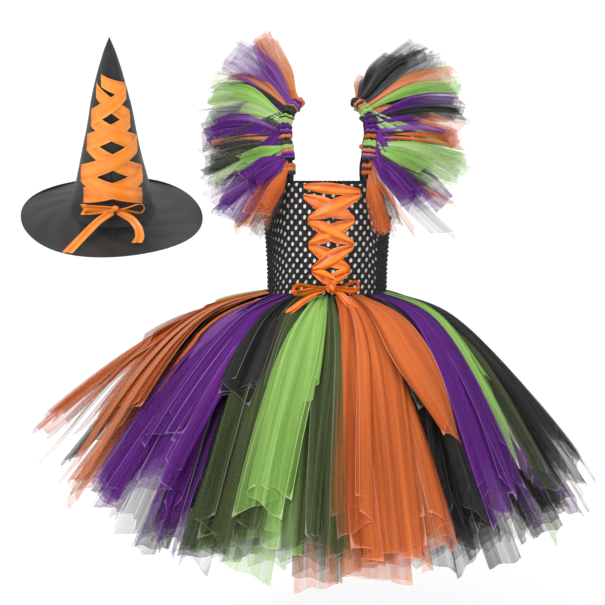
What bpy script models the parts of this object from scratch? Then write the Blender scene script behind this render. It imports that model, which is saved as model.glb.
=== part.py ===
"""A child's witch costume: a dress of tulle strips on a crocheted tube, and a pointed hat.

Metres, +Z up, the front faces -Y. The origin lies midway between the tops of the two
shoulder straps, where the wearer's shoulders carry the dress. The hat stands apart,
behind and to the left, tipped forward. Cloth is a thin wall: each sheet is a grid of
points worked out from the sizes below, thickened by a Solidify modifier.
"""

import math

import bmesh
import bpy
import numpy as np
from mathutils import Matrix, Vector

# Heights of the dress
NECK_Z = -0.119
ARMHOLE_Z = -0.172
WAIST_Z = -0.290
SEAM = 0.0003

# Crocheted tube: half width and half depth at each height
TUBE_SECTIONS = (
    {"z": -0.290, "half_width": 0.0890, "half_depth": 0.0680},
    {"z": -0.245, "half_width": 0.0895, "half_depth": 0.0690},
    {"z": -0.205, "half_width": 0.0920, "half_depth": 0.0715},
    {"z": -0.172, "half_width": 0.0945, "half_depth": 0.0730},
    {"z": -0.119, "half_width": 0.0920, "half_depth": 0.0700},
)
TUBE_WALL = 0.0020
LINING_WALL = 0.0010
LINING_DROP = 0.004
TUBE_SEGMENTS = 40
NECK_HALF_WIDTH = 0.058

# Shoulder straps: an arch of knotted tulle over each shoulder
STRAP_X = 0.0565
STRAP_TOP_X = 0.0430
STRAP_BULGE = 0.0110
STRAP_HALF_DEPTH = 0.0552
STRAP_WIDTH = 0.0110
STRAP_THICK = 0.0070

# Skirt: strips of tulle in two sets, the upper set standing out further
SLOTS = 22
UPPER = {"half_width": 0.412, "half_depth": 0.345, "hem_z": -0.590, "root_z": 0.0045, "root_out": 0.0018}
LOWER = {"half_width": 0.392, "half_depth": 0.330, "hem_z": -0.612, "root_z": -0.0014, "root_out": 0.0}
UNDER = {"half_width": 0.342, "half_depth": 0.286, "hem_z": -0.620, "root_z": -0.0046, "root_out": 0.0}
TULLE_WALL = 0.0012
UPPER_SHARE = 0.80
LOWER_SHARE = 0.93
PLEATS = 3
UNDER_PLEATS = 20
PLEAT_DEPTH = 0.0075
ROOT_PLEAT_DEPTH = 0.0004
FULLNESS = 0.42
DROOP = 0.12

# One row for each strip bundle, round from the front towards +X
STRIPS = (
    {"name": "skirt_00_olive", "colour": "olive", "reach": 1.00, "drop": 1.00},
    {"name": "skirt_01_orange", "colour": "orange", "reach": 1.00, "drop": 1.02},
    {"name": "skirt_02_black", "colour": "black", "reach": 1.00, "drop": 1.00},
    {"name": "skirt_03_purple", "colour": "purple", "reach": 0.98, "drop": 0.97},
    {"name": "skirt_04_green", "colour": "green", "reach": 0.98, "drop": 0.96},
    {"name": "skirt_05_black", "colour": "black", "reach": 0.94, "drop": 0.84},
    {"name": "skirt_06_orange", "colour": "orange", "reach": 0.96, "drop": 0.90},
    {"name": "skirt_07_purple", "colour": "purple", "reach": 0.96, "drop": 0.86},
    {"name": "skirt_08_black", "colour": "black", "reach": 1.00, "drop": 0.96},
    {"name": "skirt_09_green", "colour": "green", "reach": 1.00, "drop": 0.98},
    {"name": "skirt_10_black", "colour": "black", "reach": 1.00, "drop": 1.00},
    {"name": "skirt_11_orange", "colour": "orange", "reach": 1.00, "drop": 1.01},
    {"name": "skirt_12_black", "colour": "black", "reach": 1.00, "drop": 1.00},
    {"name": "skirt_13_purple", "colour": "purple", "reach": 1.00, "drop": 0.98},
    {"name": "skirt_14_green", "colour": "green", "reach": 1.00, "drop": 0.92},
    {"name": "skirt_15_black", "colour": "black", "reach": 1.00, "drop": 0.80},
    {"name": "skirt_16_black", "colour": "black", "reach": 1.04, "drop": 0.84},
    {"name": "skirt_17_orange", "colour": "orange", "reach": 1.06, "drop": 0.66},
    {"name": "skirt_18_orange", "colour": "orange", "reach": 1.06, "drop": 0.88},
    {"name": "skirt_19_purple", "colour": "purple", "reach": 1.02, "drop": 0.88},
    {"name": "skirt_20_black", "colour": "black", "reach": 1.00, "drop": 0.98},
    {"name": "skirt_21_green", "colour": "green", "reach": 1.00, "drop": 1.00},
)

# Ruffle strips on each strap, front to back; low and high are the two ends of a strip's outer edge
RUFFLES = {
    "left": (
        {"name": "a_orange", "low": (-0.0917, -0.090, -0.1910), "high": (-0.1354, -0.098, -0.1915)},
        {"name": "b_purple", "low": (-0.1400, -0.104, -0.1830), "high": (-0.1624, -0.104, -0.1456)},
        {"name": "c_olive", "low": (-0.1690, -0.094, -0.1317), "high": (-0.1840, -0.086, -0.0870)},
        {"name": "d_purple", "low": (-0.1879, -0.066, -0.0742), "high": (-0.1792, -0.048, -0.0300)},
        {"name": "e_green", "low": (-0.1812, -0.030, -0.0150), "high": (-0.1660, -0.008, 0.0400)},
        {"name": "f_lilac", "low": (-0.1626, 0.010, 0.0560), "high": (-0.1190, 0.026, 0.0880)},
        {"name": "g_orange", "low": (-0.1170, 0.042, 0.0980), "high": (-0.0900, 0.050, 0.1090)},
        {"name": "h_purple", "low": (-0.1500, 0.106, 0.0000), "high": (-0.1350, 0.118, -0.1300)},
    ),
    "right": (
        {"name": "a_orange", "low": (0.0730, -0.090, -0.1960), "high": (0.0990, -0.092, -0.1850)},
        {"name": "b_purple", "low": (0.1110, -0.098, -0.1600), "high": (0.1750, -0.100, -0.1520)},
        {"name": "c_green", "low": (0.1860, -0.092, -0.1300), "high": (0.2010, -0.080, -0.0892)},
        {"name": "d_orange", "low": (0.2016, -0.066, -0.0760), "high": (0.1965, -0.050, -0.0460)},
        {"name": "e_black", "low": (0.2040, -0.032, -0.0260), "high": (0.2040, -0.014, 0.0040)},
        {"name": "f_green", "low": (0.2040, 0.006, 0.0200), "high": (0.1900, 0.020, 0.0600)},
        {"name": "g_black", "low": (0.1800, 0.036, 0.0700), "high": (0.1400, 0.048, 0.0927)},
        {"name": "h_orange", "low": (0.1500, 0.106, 0.0000), "high": (0.1350, 0.118, -0.1300)},
    ),
}
RUFFLE_ROOTS = (0.095, 0.205, 0.310, 0.410, 0.510, 0.610, 0.710, 0.880)
RUFFLE_HALF_ROOT = 0.043
RUFFLE_PLEATS = 2
RUFFLE_PLEAT_DEPTH = 0.0050

# Satin ribbon laced down the front of the tube; z is where a side turn sits, half_width how far out
RIBBON_WALL = 0.0010
RIBBON_LIFT = 0.0003
LACE_SHIFT = 0.0040
LACE = {"end": 0.0034, "gap": 0.0006, "bulge": 0.0030, "sag": 0.0, "steps": 5}
LACE_LEVELS = (
    {"z": -0.1215, "half_width": 0.0395, "half": 0.0080},
    {"z": -0.1366, "half_width": 0.0395, "half": 0.0125},
    {"z": -0.1735, "half_width": 0.0306, "half": 0.0125},
    {"z": -0.2090, "half_width": 0.0300, "half": 0.0125},
    {"z": -0.2450, "half_width": 0.0250, "half": 0.0100},
    {"z": -0.2660, "half_width": 0.0080, "half": 0.0100},
)

# Hat, in its own frame: the brim's rim lies in the plane z = 0, the cone rises along +Z
HAT_CENTRE = (-0.422, 0.541, -0.185)
HAT_TILT = math.radians(24.9)
HAT_YAW = math.radians(10.7)
BRIM_RADIUS = 0.180
BRIM_RISE = 0.012
HAT_WALL = 0.0016
HAT_SEGMENTS = 32
CROWN_SECTIONS = (
    {"h": 0.0120, "r": 0.0840},
    {"h": 0.0230, "r": 0.0795},
    {"h": 0.0760, "r": 0.0708},
    {"h": 0.1200, "r": 0.0612},
    {"h": 0.1770, "r": 0.0492},
    {"h": 0.2330, "r": 0.0390},
    {"h": 0.2700, "r": 0.0302},
    {"h": 0.3050, "r": 0.0209},
    {"h": 0.3400, "r": 0.0105},
    {"h": 0.3650, "r": 0.0000},
)
HAT_RIBBON_LIFT = 0.0014
HAT_LACE = {"end": 0.0090, "gap": 0.0006, "bulge": 0.0040, "sag": 0.0150, "steps": 7}
HAT_LACE_LEVELS = (
    {"z": 0.3300, "half_width": 0.0130, "half": 0.0060},
    {"z": 0.2930, "half_width": 0.0240, "half": 0.0160},
    {"z": 0.2320, "half_width": 0.0430, "half": 0.0160},
    {"z": 0.1680, "half_width": 0.0560, "half": 0.0160},
    {"z": 0.1070, "half_width": 0.0720, "half": 0.0160},
    {"z": 0.0560, "half_width": 0.0560, "half": 0.0160},
)
BOW_WALL = 0.0012

# Middle lines of the hat bow's tails, in the hat's frame
HAT_TAILS = {
    "hat_bow_tail_left": (
        {"x": -0.001, "y": -0.0865, "z": 0.0490},
        {"x": -0.028, "y": -0.0985, "z": 0.0360},
        {"x": -0.050, "y": -0.1200, "z": 0.0215},
        {"x": -0.070, "y": -0.1480, "z": 0.0120},
        {"x": -0.086, "y": -0.1740, "z": 0.0060},
    ),
    "hat_bow_tail_right": (
        {"x": 0.009, "y": -0.0865, "z": 0.0497},
        {"x": 0.036, "y": -0.0960, "z": 0.0370},
        {"x": 0.048, "y": -0.1120, "z": 0.0240},
        {"x": 0.050, "y": -0.1300, "z": 0.0150},
        {"x": 0.043, "y": -0.1480, "z": 0.0115},
    ),
}

COLOURS = {
    "orange": ((0.80, 0.21, 0.05), 0.75),
    "purple": ((0.20, 0.04, 0.36), 0.75),
    "green": ((0.36, 0.72, 0.16), 0.75),
    "olive": ((0.16, 0.26, 0.08), 0.75),
    "black": ((0.02, 0.02, 0.02), 0.75),
    "lilac": ((0.55, 0.45, 0.66), 0.75),
    "crochet": ((0.012, 0.012, 0.012), 0.8),
    "lining": ((0.80, 0.79, 0.77), 0.8),
    "satin": ((0.90, 0.25, 0.02), 0.3),
    "hat": ((0.015, 0.015, 0.016), 0.45),
}


def clear_scene():
    """Removes every object of the open scene."""
    for obj in list(bpy.data.objects):
        bpy.data.objects.remove(obj)


def material(name):
    """The Principled material of that colour name, made once."""
    found = bpy.data.materials.get(name)
    if found:
        return found
    colour, roughness = COLOURS[name]
    made = bpy.data.materials.new(name)
    made.use_nodes = True
    shader = made.node_tree.nodes["Principled BSDF"]
    shader.inputs["Base Color"].default_value = (*colour, 1.0)
    shader.inputs["Roughness"].default_value = roughness
    shader.inputs["Metallic"].default_value = 0.0
    return made


def smooth_step(x):
    """0 below 0, 1 above 1, and an S-curve between."""
    x = np.clip(x, 0.0, 1.0)
    return x * x * (3.0 - 2.0 * x)


def read_table(rows, key, value, at):
    """The column value of a table at the given key values, by straight interpolation."""
    keys = [row[key] for row in rows]
    values = [row[value] for row in rows]
    if keys[0] > keys[-1]:
        keys, values = keys[::-1], values[::-1]
    return np.interp(at, keys, values)


def add_object(name, mesh, colour):
    """Links a smooth-shaded object that holds the mesh and its material."""
    mesh.shade_smooth()
    mesh.set_sharp_from_angle(angle=math.radians(50))
    mesh.materials.append(material(colour))
    obj = bpy.data.objects.new(name, mesh)
    bpy.context.collection.objects.link(obj)
    return obj


def grid_mesh(name, points, round_it=False, tip=False):
    """A mesh of quads from points[i, j]; round_it closes it in i, tip makes the last j one point."""
    across, along = points.shape[:2]
    flat = points.reshape(-1, 3)
    index = np.arange(across * along).reshape(across, along)
    faces = []
    columns = across if round_it else across - 1
    rows = along - 2 if tip else along - 1
    for i in range(columns):
        k = (i + 1) % across
        for j in range(rows):
            faces.append((index[i, j], index[k, j], index[k, j + 1], index[i, j + 1]))
        if tip:
            faces.append((index[i, rows], index[k, rows], index[0, along - 1]))
    mesh = bpy.data.meshes.new(name)
    mesh.from_pydata([tuple(p) for p in flat], [], [tuple(int(n) for n in f) for f in faces])
    if tip:
        work = bmesh.new()
        work.from_mesh(mesh)
        bmesh.ops.delete(work, geom=[v for v in work.verts if not v.link_faces], context="VERTS")
        work.to_mesh(mesh)
        work.free()
    mesh.validate()
    return mesh


def sheet(name, points, wall, colour, round_it=False, tip=False):
    """A wall of even thickness about a grid of points."""
    obj = add_object(name, grid_mesh(name, points, round_it, tip), colour)
    solid = obj.modifiers.new("wall", "SOLIDIFY")
    solid.thickness = wall
    solid.offset = 0.0
    solid.use_even_offset = True
    solid.thickness_clamp = 0.0
    return obj


def tube_point(angle, z, inset=0.0):
    """Points of the crocheted tube's middle surface; inset moves them inwards."""
    half_width = read_table(TUBE_SECTIONS, "z", "half_width", z) - inset
    half_depth = read_table(TUBE_SECTIONS, "z", "half_depth", z) - inset
    return np.stack([half_width * np.sin(angle), -half_depth * np.cos(angle), z], axis=-1)


def tube_top(angle):
    """Height of the tube's top edge: level at the neck, dipping under each arm."""
    across = np.abs(np.sin(angle)) * TUBE_SECTIONS[-1]["half_width"]
    dip = (across - NECK_HALF_WIDTH) / (TUBE_SECTIONS[-1]["half_width"] - NECK_HALF_WIDTH)
    share = smooth_step(dip)
    return NECK_Z + (ARMHOLE_Z - NECK_Z) * share


def build_tube():
    """The crocheted tube and the lining that shows through its holes."""
    angle = np.arange(TUBE_SEGMENTS) / TUBE_SEGMENTS * 2.0 * math.pi
    rise = np.linspace(0.0, 1.0, 8)
    z = WAIST_Z + (tube_top(angle)[:, None] - WAIST_Z) * rise
    sheet("crochet_tube", tube_point(angle[:, None], z), TUBE_WALL, "crochet", round_it=True)
    inset = TUBE_WALL / 2 + SEAM + LINING_WALL / 2
    angle = angle[::2]
    top = tube_top(angle)[:, None] - LINING_DROP
    z = WAIST_Z + (top - WAIST_Z) * np.linspace(0.0, 1.0, 5)
    sheet("lining", tube_point(angle[:, None], z, inset), LINING_WALL, "lining", round_it=True)


def strap_point(share, side):
    """The strap's centreline: an arch from the front neck edge over the shoulder to the back."""
    turn = math.pi * np.asarray(share, float)
    foot = NECK_Z + SEAM
    lift = np.sin(turn)
    x = STRAP_X + (STRAP_TOP_X - STRAP_X) * lift ** 2 + STRAP_BULGE * np.sin(2.0 * turn) ** 2
    y = -STRAP_HALF_DEPTH * np.cos(turn)
    z = foot + (0.0 - STRAP_THICK / 2 - foot) * lift ** 0.8
    return np.stack([side * x, y, z], axis=-1)


def strap_frame(share, side):
    """Unit vectors across the strap and out of its face, both square to its centreline."""
    share = np.clip(share, 0.002, 0.998)
    along = strap_point(share + 0.001, side) - strap_point(share - 0.001, side)
    along[share == 0.002] = (0.0, 0.0, 1.0)
    along[share == 0.998] = (0.0, 0.0, -1.0)
    along /= np.linalg.norm(along, axis=1)[:, None]
    wide = np.array([1.0, 0.0, 0.0]) - along[:, :1] * along
    wide /= np.linalg.norm(wide, axis=1)[:, None]
    return wide, np.cross(along, wide)


def build_straps():
    """Both straps, as flat-oval arches whose feet stand on the tube's top edge."""
    share = np.linspace(0.0, 1.0, 17)
    turns = np.arange(8) / 8 * 2.0 * math.pi
    for side, name in ((-1, "strap_left"), (1, "strap_right")):
        line = strap_point(share, side)
        wide, thick = strap_frame(share, side)
        rings = (
            line[None]
            + wide[None] * (STRAP_WIDTH / 2 * np.cos(turns))[:, None, None]
            + thick[None] * (STRAP_THICK / 2 * np.sin(turns))[:, None, None]
        )
        rings[:, 0, 2] = rings[:, -1, 2] = NECK_Z + SEAM
        mesh = grid_mesh(name, rings, round_it=True)
        work = bmesh.new()
        work.from_mesh(mesh)
        bmesh.ops.holes_fill(work, edges=[e for e in work.edges if e.is_boundary], sides=0)
        bmesh.ops.recalc_face_normals(work, faces=work.faces)
        work.to_mesh(mesh)
        work.free()
        add_object(name, mesh, "black")


def skirt_point(angle, along, layer, reach=1.0, drop=1.0):
    """A point of a skirt layer: a quadratic curve from the waist out and down to the hem."""
    waist = TUBE_SECTIONS[0]
    root_width = waist["half_width"] + layer["root_out"]
    root_depth = waist["half_depth"] + layer["root_out"]
    root_z = WAIST_Z + layer["root_z"]
    hem_width = layer["half_width"] * reach
    hem_depth = layer["half_depth"] * reach
    hem_z = root_z + (layer["hem_z"] - root_z) * drop
    first, middle, last = (1.0 - along) ** 2, 2.0 * along * (1.0 - along), along ** 2
    mid_width = root_width + FULLNESS * (hem_width - root_width)
    mid_depth = root_depth + FULLNESS * (hem_depth - root_depth)
    mid_z = root_z + DROOP * (hem_z - root_z)
    width = first * root_width + middle * mid_width + last * hem_width
    depth = first * root_depth + middle * mid_depth + last * hem_depth
    z = first * root_z + middle * mid_z + last * hem_z
    return np.stack([width * np.sin(angle), -depth * np.cos(angle), z * np.ones_like(angle)], axis=-1)


def grid_normals(points):
    """Unit normals of a grid, from its central differences."""
    across, along = np.gradient(points, axis=0), np.gradient(points, axis=1)
    normal = np.cross(across, along)
    return normal / np.linalg.norm(normal, axis=2)[:, :, None]


def pleated(points, pleats, root_depth, hem_depth, power=0.8):
    """The grid pushed in and out along its normals, as pleats that deepen from root to hem."""
    across = np.linspace(0.0, 1.0, points.shape[0])[:, None]
    along = np.linspace(0.0, 1.0, points.shape[1])[None, :]
    depth = root_depth + (hem_depth - root_depth) * along ** power
    wave = np.cos(2.0 * math.pi * pleats * across)
    return points + grid_normals(points) * (depth * wave)[:, :, None]


def build_skirt():
    """The strip bundles of both sets, then the gathered underskirt."""
    slot = 2.0 * math.pi / SLOTS
    for number, row in enumerate(STRIPS):
        upper = number % 2 == 1
        layer, share = (UPPER, UPPER_SHARE) if upper else (LOWER, LOWER_SHARE)
        across = np.linspace(-share, share, 4 * PLEATS + 1)
        angle = (number * slot + across * slot)[:, None]
        along = np.array([0.0, 0.16, 0.38, 0.66, 1.0])[None, :]
        points = skirt_point(angle + 0.0 * along, along + 0.0 * angle, layer, row["reach"], row["drop"])
        points = pleated(points, PLEATS, ROOT_PLEAT_DEPTH, PLEAT_DEPTH)
        sheet(row["name"], points, TULLE_WALL, row["colour"])
    pleat_turns = 4 * UNDER_PLEATS
    angle = (np.arange(pleat_turns) / pleat_turns * 2.0 * math.pi)[:, None]
    along = np.array([0.0, 0.16, 0.38, 0.66, 1.0])[None, :]
    points = skirt_point(angle + 0.0 * along, along + 0.0 * angle, UNDER)
    ring = np.concatenate([points[-1:], points, points[:1]])
    normal = grid_normals(ring)[1:-1]
    depth = ROOT_PLEAT_DEPTH + (PLEAT_DEPTH - ROOT_PLEAT_DEPTH) * along ** 0.8
    points = points + normal * (depth * np.cos(UNDER_PLEATS * angle))[:, :, None]
    sheet("underskirt", points, TULLE_WALL, "black", round_it=True)


def build_ruffles():
    """Eight tulle strips that stand out from each strap like a wing."""
    across = np.linspace(-1.0, 1.0, 4 * RUFFLE_PLEATS + 1)
    for side, side_name in ((-1, "left"), (1, "right")):
        for row, middle in zip(RUFFLES[side_name], RUFFLE_ROOTS):
            share = middle + RUFFLE_HALF_ROOT * across
            root = strap_point(share, side)
            low, high = np.array(row["low"]), np.array(row["high"])
            edge = low + np.outer((across + 1.0) / 2.0, high - low)
            wide, thick = strap_frame(share, side)
            out = edge - root
            across_wide, across_thick = (out * wide).sum(axis=1), (out * thick).sum(axis=1)
            size = np.hypot(across_wide, across_thick)
            across_wide, across_thick = across_wide / size, across_thick / size
            reach = 1.0 / np.hypot(across_wide / (STRAP_WIDTH / 2), across_thick / (STRAP_THICK / 2))
            reach += TULLE_WALL / 2 + ROOT_PLEAT_DEPTH / 2 + SEAM / 2
            root = root + (reach * across_wide)[:, None] * wide + (reach * across_thick)[:, None] * thick
            along = np.linspace(0.0, 1.0, 4)[None, :, None]
            points = root[:, None] + (edge - root)[:, None] * along
            if side > 0:
                points = points[::-1]
            points = pleated(points, RUFFLE_PLEATS, ROOT_PLEAT_DEPTH, RUFFLE_PLEAT_DEPTH)
            sheet("ruffle_" + side_name + "_" + row["name"], points, TULLE_WALL, row["name"][2:])


def laced(levels, sizes, start_side):
    """A ribbon that runs side to side down the levels: its two edges and middle as sideways and height."""
    share = np.linspace(0.0, 1.0, sizes["steps"] + 1)
    columns = []
    for number in range(len(levels) - 1):
        from_side = start_side if number % 2 == 0 else -start_side
        upper_level, lower_level = levels[number], levels[number + 1]
        first = upper_level["z"] - sizes["gap"] - sizes["end"]
        last = lower_level["z"] + sizes["gap"] + sizes["end"]
        arch = np.sin(math.pi * share)
        middle = first + (last - first) * share + sizes["sag"] * arch
        half = sizes["end"] + (upper_level["half"] - sizes["end"]) * arch
        reach = upper_level["half_width"] + (-lower_level["half_width"] - upper_level["half_width"]) * share
        edges = np.stack([middle + half, middle, middle - half], axis=1)
        run = np.stack([np.tile(from_side * reach[:, None], (1, 3)), edges], axis=2)
        columns.append(run if from_side < 0 else run[:, ::-1])
        if number == len(levels) - 2:
            continue
        turn = np.radians([45.0, 0.0, -45.0])[:, None]
        radius = sizes["gap"] + np.array([2.0, 1.0, 0.0])[None, :] * sizes["end"]
        flat = sizes["bulge"] / (sizes["gap"] + 2.0 * sizes["end"])
        sideways = -from_side * (lower_level["half_width"] + np.cos(turn) * radius * flat)
        fan = np.stack([sideways, lower_level["z"] + np.sin(turn) * radius], axis=2)
        columns.append(fan if from_side < 0 else fan[:, ::-1])
    table = np.concatenate(columns)
    return table[:, :, 0], table[:, :, 1]


def front_ribbon(name, x, z, lift):
    """A band on the tube's front at widths x and heights z, its middle lifted off the crochet."""
    out = TUBE_WALL / 2 + SEAM + RIBBON_LIFT + lift + RIBBON_WALL / 2
    x = x + LACE_SHIFT
    half_width = read_table(TUBE_SECTIONS, "z", "half_width", z) + out
    half_depth = read_table(TUBE_SECTIONS, "z", "half_depth", z) + out
    y = -half_depth * np.sqrt(1.0 - (x / half_width) ** 2)
    sheet(name, np.stack([x, y, z], axis=-1), RIBBON_WALL, "satin")


def build_lacing():
    """Two runs of ribbon that cross down the front, the upper one starting with the bar at the top."""
    over = RIBBON_WALL + SEAM + 0.0006
    front_ribbon("lace_under", *laced(LACE_LEVELS[1:], LACE, -1), 0.0)
    front_ribbon("lace_over", *laced(LACE_LEVELS, LACE, -1), over)


def band_along(name, line, half_width_vectors, wall, colour="satin", round_it=False):
    """A ribbon along a line of points, as wide as the given half-width vectors."""
    points = np.stack([line - half_width_vectors, line, line + half_width_vectors], axis=1)
    sheet(name, points, wall, colour, round_it=round_it)


def bow_loop(name, root, length, rise, depth, half_width, place):
    """A bow's loop: a closed teardrop of ribbon from root to length along X, in its own frame."""
    turn = np.arange(14) / 14 * 2.0 * math.pi
    x = root + length * (1.0 - np.cos(turn)) / 2
    swell = np.sin(turn / 2) ** 1.2
    y = -depth * np.sin(turn) * swell
    z = rise * (1.0 - np.cos(turn)) / 2
    line = np.stack([x, y, z], axis=-1)
    size = half_width * (0.45 + 0.55 * np.sin(turn / 2))
    vectors = np.stack([0.0 * x, 0.0 * x, size], axis=-1)
    line = line @ place[0].T + place[1]
    vectors = vectors @ place[0].T
    band_along(name, line, vectors, BOW_WALL, round_it=True)


def knot(name, half, place):
    """A bow's knot: a small rounded block."""
    mesh = bpy.data.meshes.new(name)
    work = bmesh.new()
    bmesh.ops.create_cube(work, size=2.0)
    bmesh.ops.scale(work, vec=Vector(half), verts=work.verts)
    rotation = Matrix([tuple(row) for row in place[0]])
    place_it = Matrix.Translation(Vector(place[1])) @ rotation.to_4x4()
    bmesh.ops.transform(work, matrix=place_it, verts=work.verts)
    bmesh.ops.bevel(work, geom=list(work.edges), offset=min(half) * 0.5, segments=2, affect="EDGES")
    work.to_mesh(mesh)
    work.free()
    add_object(name, mesh, "satin")


def build_dress_bow():
    """The bow at the waist: knot, two loops, and tails that hang over the skirt."""
    centre_z = -0.2705
    depth = float(read_table(TUBE_SECTIONS, "z", "half_depth", centre_z))
    surface = depth + TUBE_WALL / 2 + 3.0 * (SEAM + RIBBON_WALL)
    upright = np.eye(3)
    middle = (0.0, -(surface + SEAM + 0.0042), centre_z)
    knot("bow_knot", (0.0060, 0.0042, 0.0066), (upright, middle))
    loop_y = -(surface + SEAM + 0.0076)
    loops = ((-1, "bow_loop_left", 0.0084, 0.044), (1, "bow_loop_right", 0.0077, 0.032))
    for side, name, root, length in loops:
        place = (np.diag([float(side), 1.0, 1.0]), np.array([0.0, loop_y, centre_z]))
        bow_loop(name, root, length, 0.004, 0.0045, 0.0062, place)
    tails = ((-1, "bow_tail_left", 24.0, 0.185), (1, "bow_tail_right", 13.0, 0.110))
    for side, name, turn, reach in tails:
        share = np.linspace(0.0, 1.0, 7)
        angle = side * math.radians(turn) * share ** 0.8
        flat = np.stack([skirt_point(angle, 0.030 + reach * share + d, UPPER) for d in (0.0, 0.01)])
        slope = flat[1] - flat[0]
        round_it = np.stack([np.cos(angle), np.sin(angle), 0.0 * angle], axis=-1)
        lift = np.cross(slope, round_it)
        lift /= np.linalg.norm(lift, axis=1)[:, None]
        line = flat[0] + lift * (0.0120 - 0.0053 * share)[:, None]
        line[:, 0] += side * 0.0057
        band_along(name, line, round_it * 0.0052, BOW_WALL)


def hat_matrix():
    """Rotation of the hat: tipped towards the front, then turned towards the viewer."""
    tip = Matrix.Rotation(HAT_TILT, 3, "X")
    turn = Matrix.Rotation(HAT_YAW, 3, "Z")
    return np.array(turn @ tip)


def to_hat(points):
    """Hat-frame points as row-frame points."""
    return np.asarray(points) @ hat_matrix().T + np.array(HAT_CENTRE)


def crown_point(angle, height, out=0.0):
    """A point on the crown in the hat's frame; angle 0 faces the front."""
    radius = read_table(CROWN_SECTIONS, "h", "r", height) + out
    return np.stack([radius * np.sin(angle), -radius * np.cos(angle), height + 0.0 * angle], axis=-1)


def build_hat():
    """Crown and brim as two walls that meet at the seam."""
    angle = (np.arange(HAT_SEGMENTS) / HAT_SEGMENTS * 2.0 * math.pi)[:, None]
    heights = np.array([row["h"] for row in CROWN_SECTIONS])[None, :]
    crown = to_hat(crown_point(angle + 0.0 * heights, heights + 0.0 * angle))
    sheet("hat_crown", crown, HAT_WALL, "hat", round_it=True, tip=True)
    inner = CROWN_SECTIONS[0]["r"] + HAT_WALL / 2 + SEAM + 0.0002
    radius = np.linspace(inner, BRIM_RADIUS, 4)[None, :]
    share = (radius - inner) / (BRIM_RADIUS - inner)
    wave = 0.0035 * np.sin(3.0 * angle + 0.6) * share
    z = BRIM_RISE * (1.0 - share) ** 1.3 + wave
    points = np.stack([radius * np.sin(angle), -radius * np.cos(angle), z], axis=-1)
    sheet("hat_brim", to_hat(points), HAT_WALL, "hat", round_it=True)


def crown_band(name, sideways, height, lift):
    """A band on the crown at arc lengths sideways and at heights, its middle lifted off the cloth."""
    angle = sideways / read_table(CROWN_SECTIONS, "h", "r", height)
    points = crown_point(angle, height, HAT_WALL / 2 + SEAM + lift + RIBBON_WALL / 2)
    sheet(name, to_hat(points), RIBBON_WALL, "satin")


def build_hat_lacing():
    """Two crossing runs of ribbon up the crown's front, the upper one starting with the bar at the top."""
    over = RIBBON_WALL + SEAM + 0.0009
    crown_band("hat_lace_under", *laced(HAT_LACE_LEVELS[1:], HAT_LACE, -1), HAT_RIBBON_LIFT)
    crown_band("hat_lace_over", *laced(HAT_LACE_LEVELS, HAT_LACE, -1), HAT_RIBBON_LIFT + over)


def build_hat_bow():
    """The hat's bow: knot, one loop each way, and two tails over the brim."""
    height = 0.0560
    surface = float(read_table(CROWN_SECTIONS, "h", "r", height)) + HAT_WALL / 2 + 3.0 * (RIBBON_WALL + SEAM)
    rotation = hat_matrix()
    middle = to_hat(np.array([0.004, -(surface + 0.0066), height]))
    knot("hat_bow_knot", (0.0060, 0.0040, 0.0058), (rotation, middle))
    loops = ((-1, "hat_bow_loop_left", 0.050, 14.0), (1, "hat_bow_loop_right", 0.052, 10.0))
    for side, name, length, bend in loops:
        turn = np.array(Matrix.Rotation(side * math.radians(bend), 3, "Z"))
        start = np.array([0.004, -(surface + 0.0069), height])
        flip_turn = rotation @ turn @ np.diag([float(side), 1.0, 1.0])
        bow_loop(name, 0.0091, length, 0.003, 0.0085, 0.0090, (flip_turn, to_hat(start)))
    for name, points in HAT_TAILS.items():
        line = np.array([(point["x"], point["y"], point["z"]) for point in points])
        along = np.gradient(line, axis=0)
        side = np.cross(along, (0.0, 0.35, 1.0))
        side /= np.linalg.norm(side, axis=1)[:, None]
        band_along(name, to_hat(line), (side * 0.0085) @ rotation.T, BOW_WALL)


def main():
    """Builds the dress, then the hat."""
    clear_scene()
    build_tube()
    build_straps()
    build_skirt()
    build_ruffles()
    build_lacing()
    build_dress_bow()
    build_hat()
    build_hat_lacing()
    build_hat_bow()


main()
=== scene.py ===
"""Looks of a child's witch costume: a dress of tulle strips on a crocheted tube, and a pointed satin hat.

Metres, +Z up, the front faces -Y, as in the part's source. The dress is filled out with nobody in it and hangs from
the point where shoulders would carry it; the hat stands behind it at the left, tipped forward. Each piece stands for
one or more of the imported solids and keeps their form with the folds, nets, laces and loose tails that cloth has.
"""

import logging
import math
from collections.abc import Sequence
from dataclasses import dataclass, field
from enum import Enum

import bmesh
import bpy
import numpy as np
from mathutils import Matrix, Vector

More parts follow.
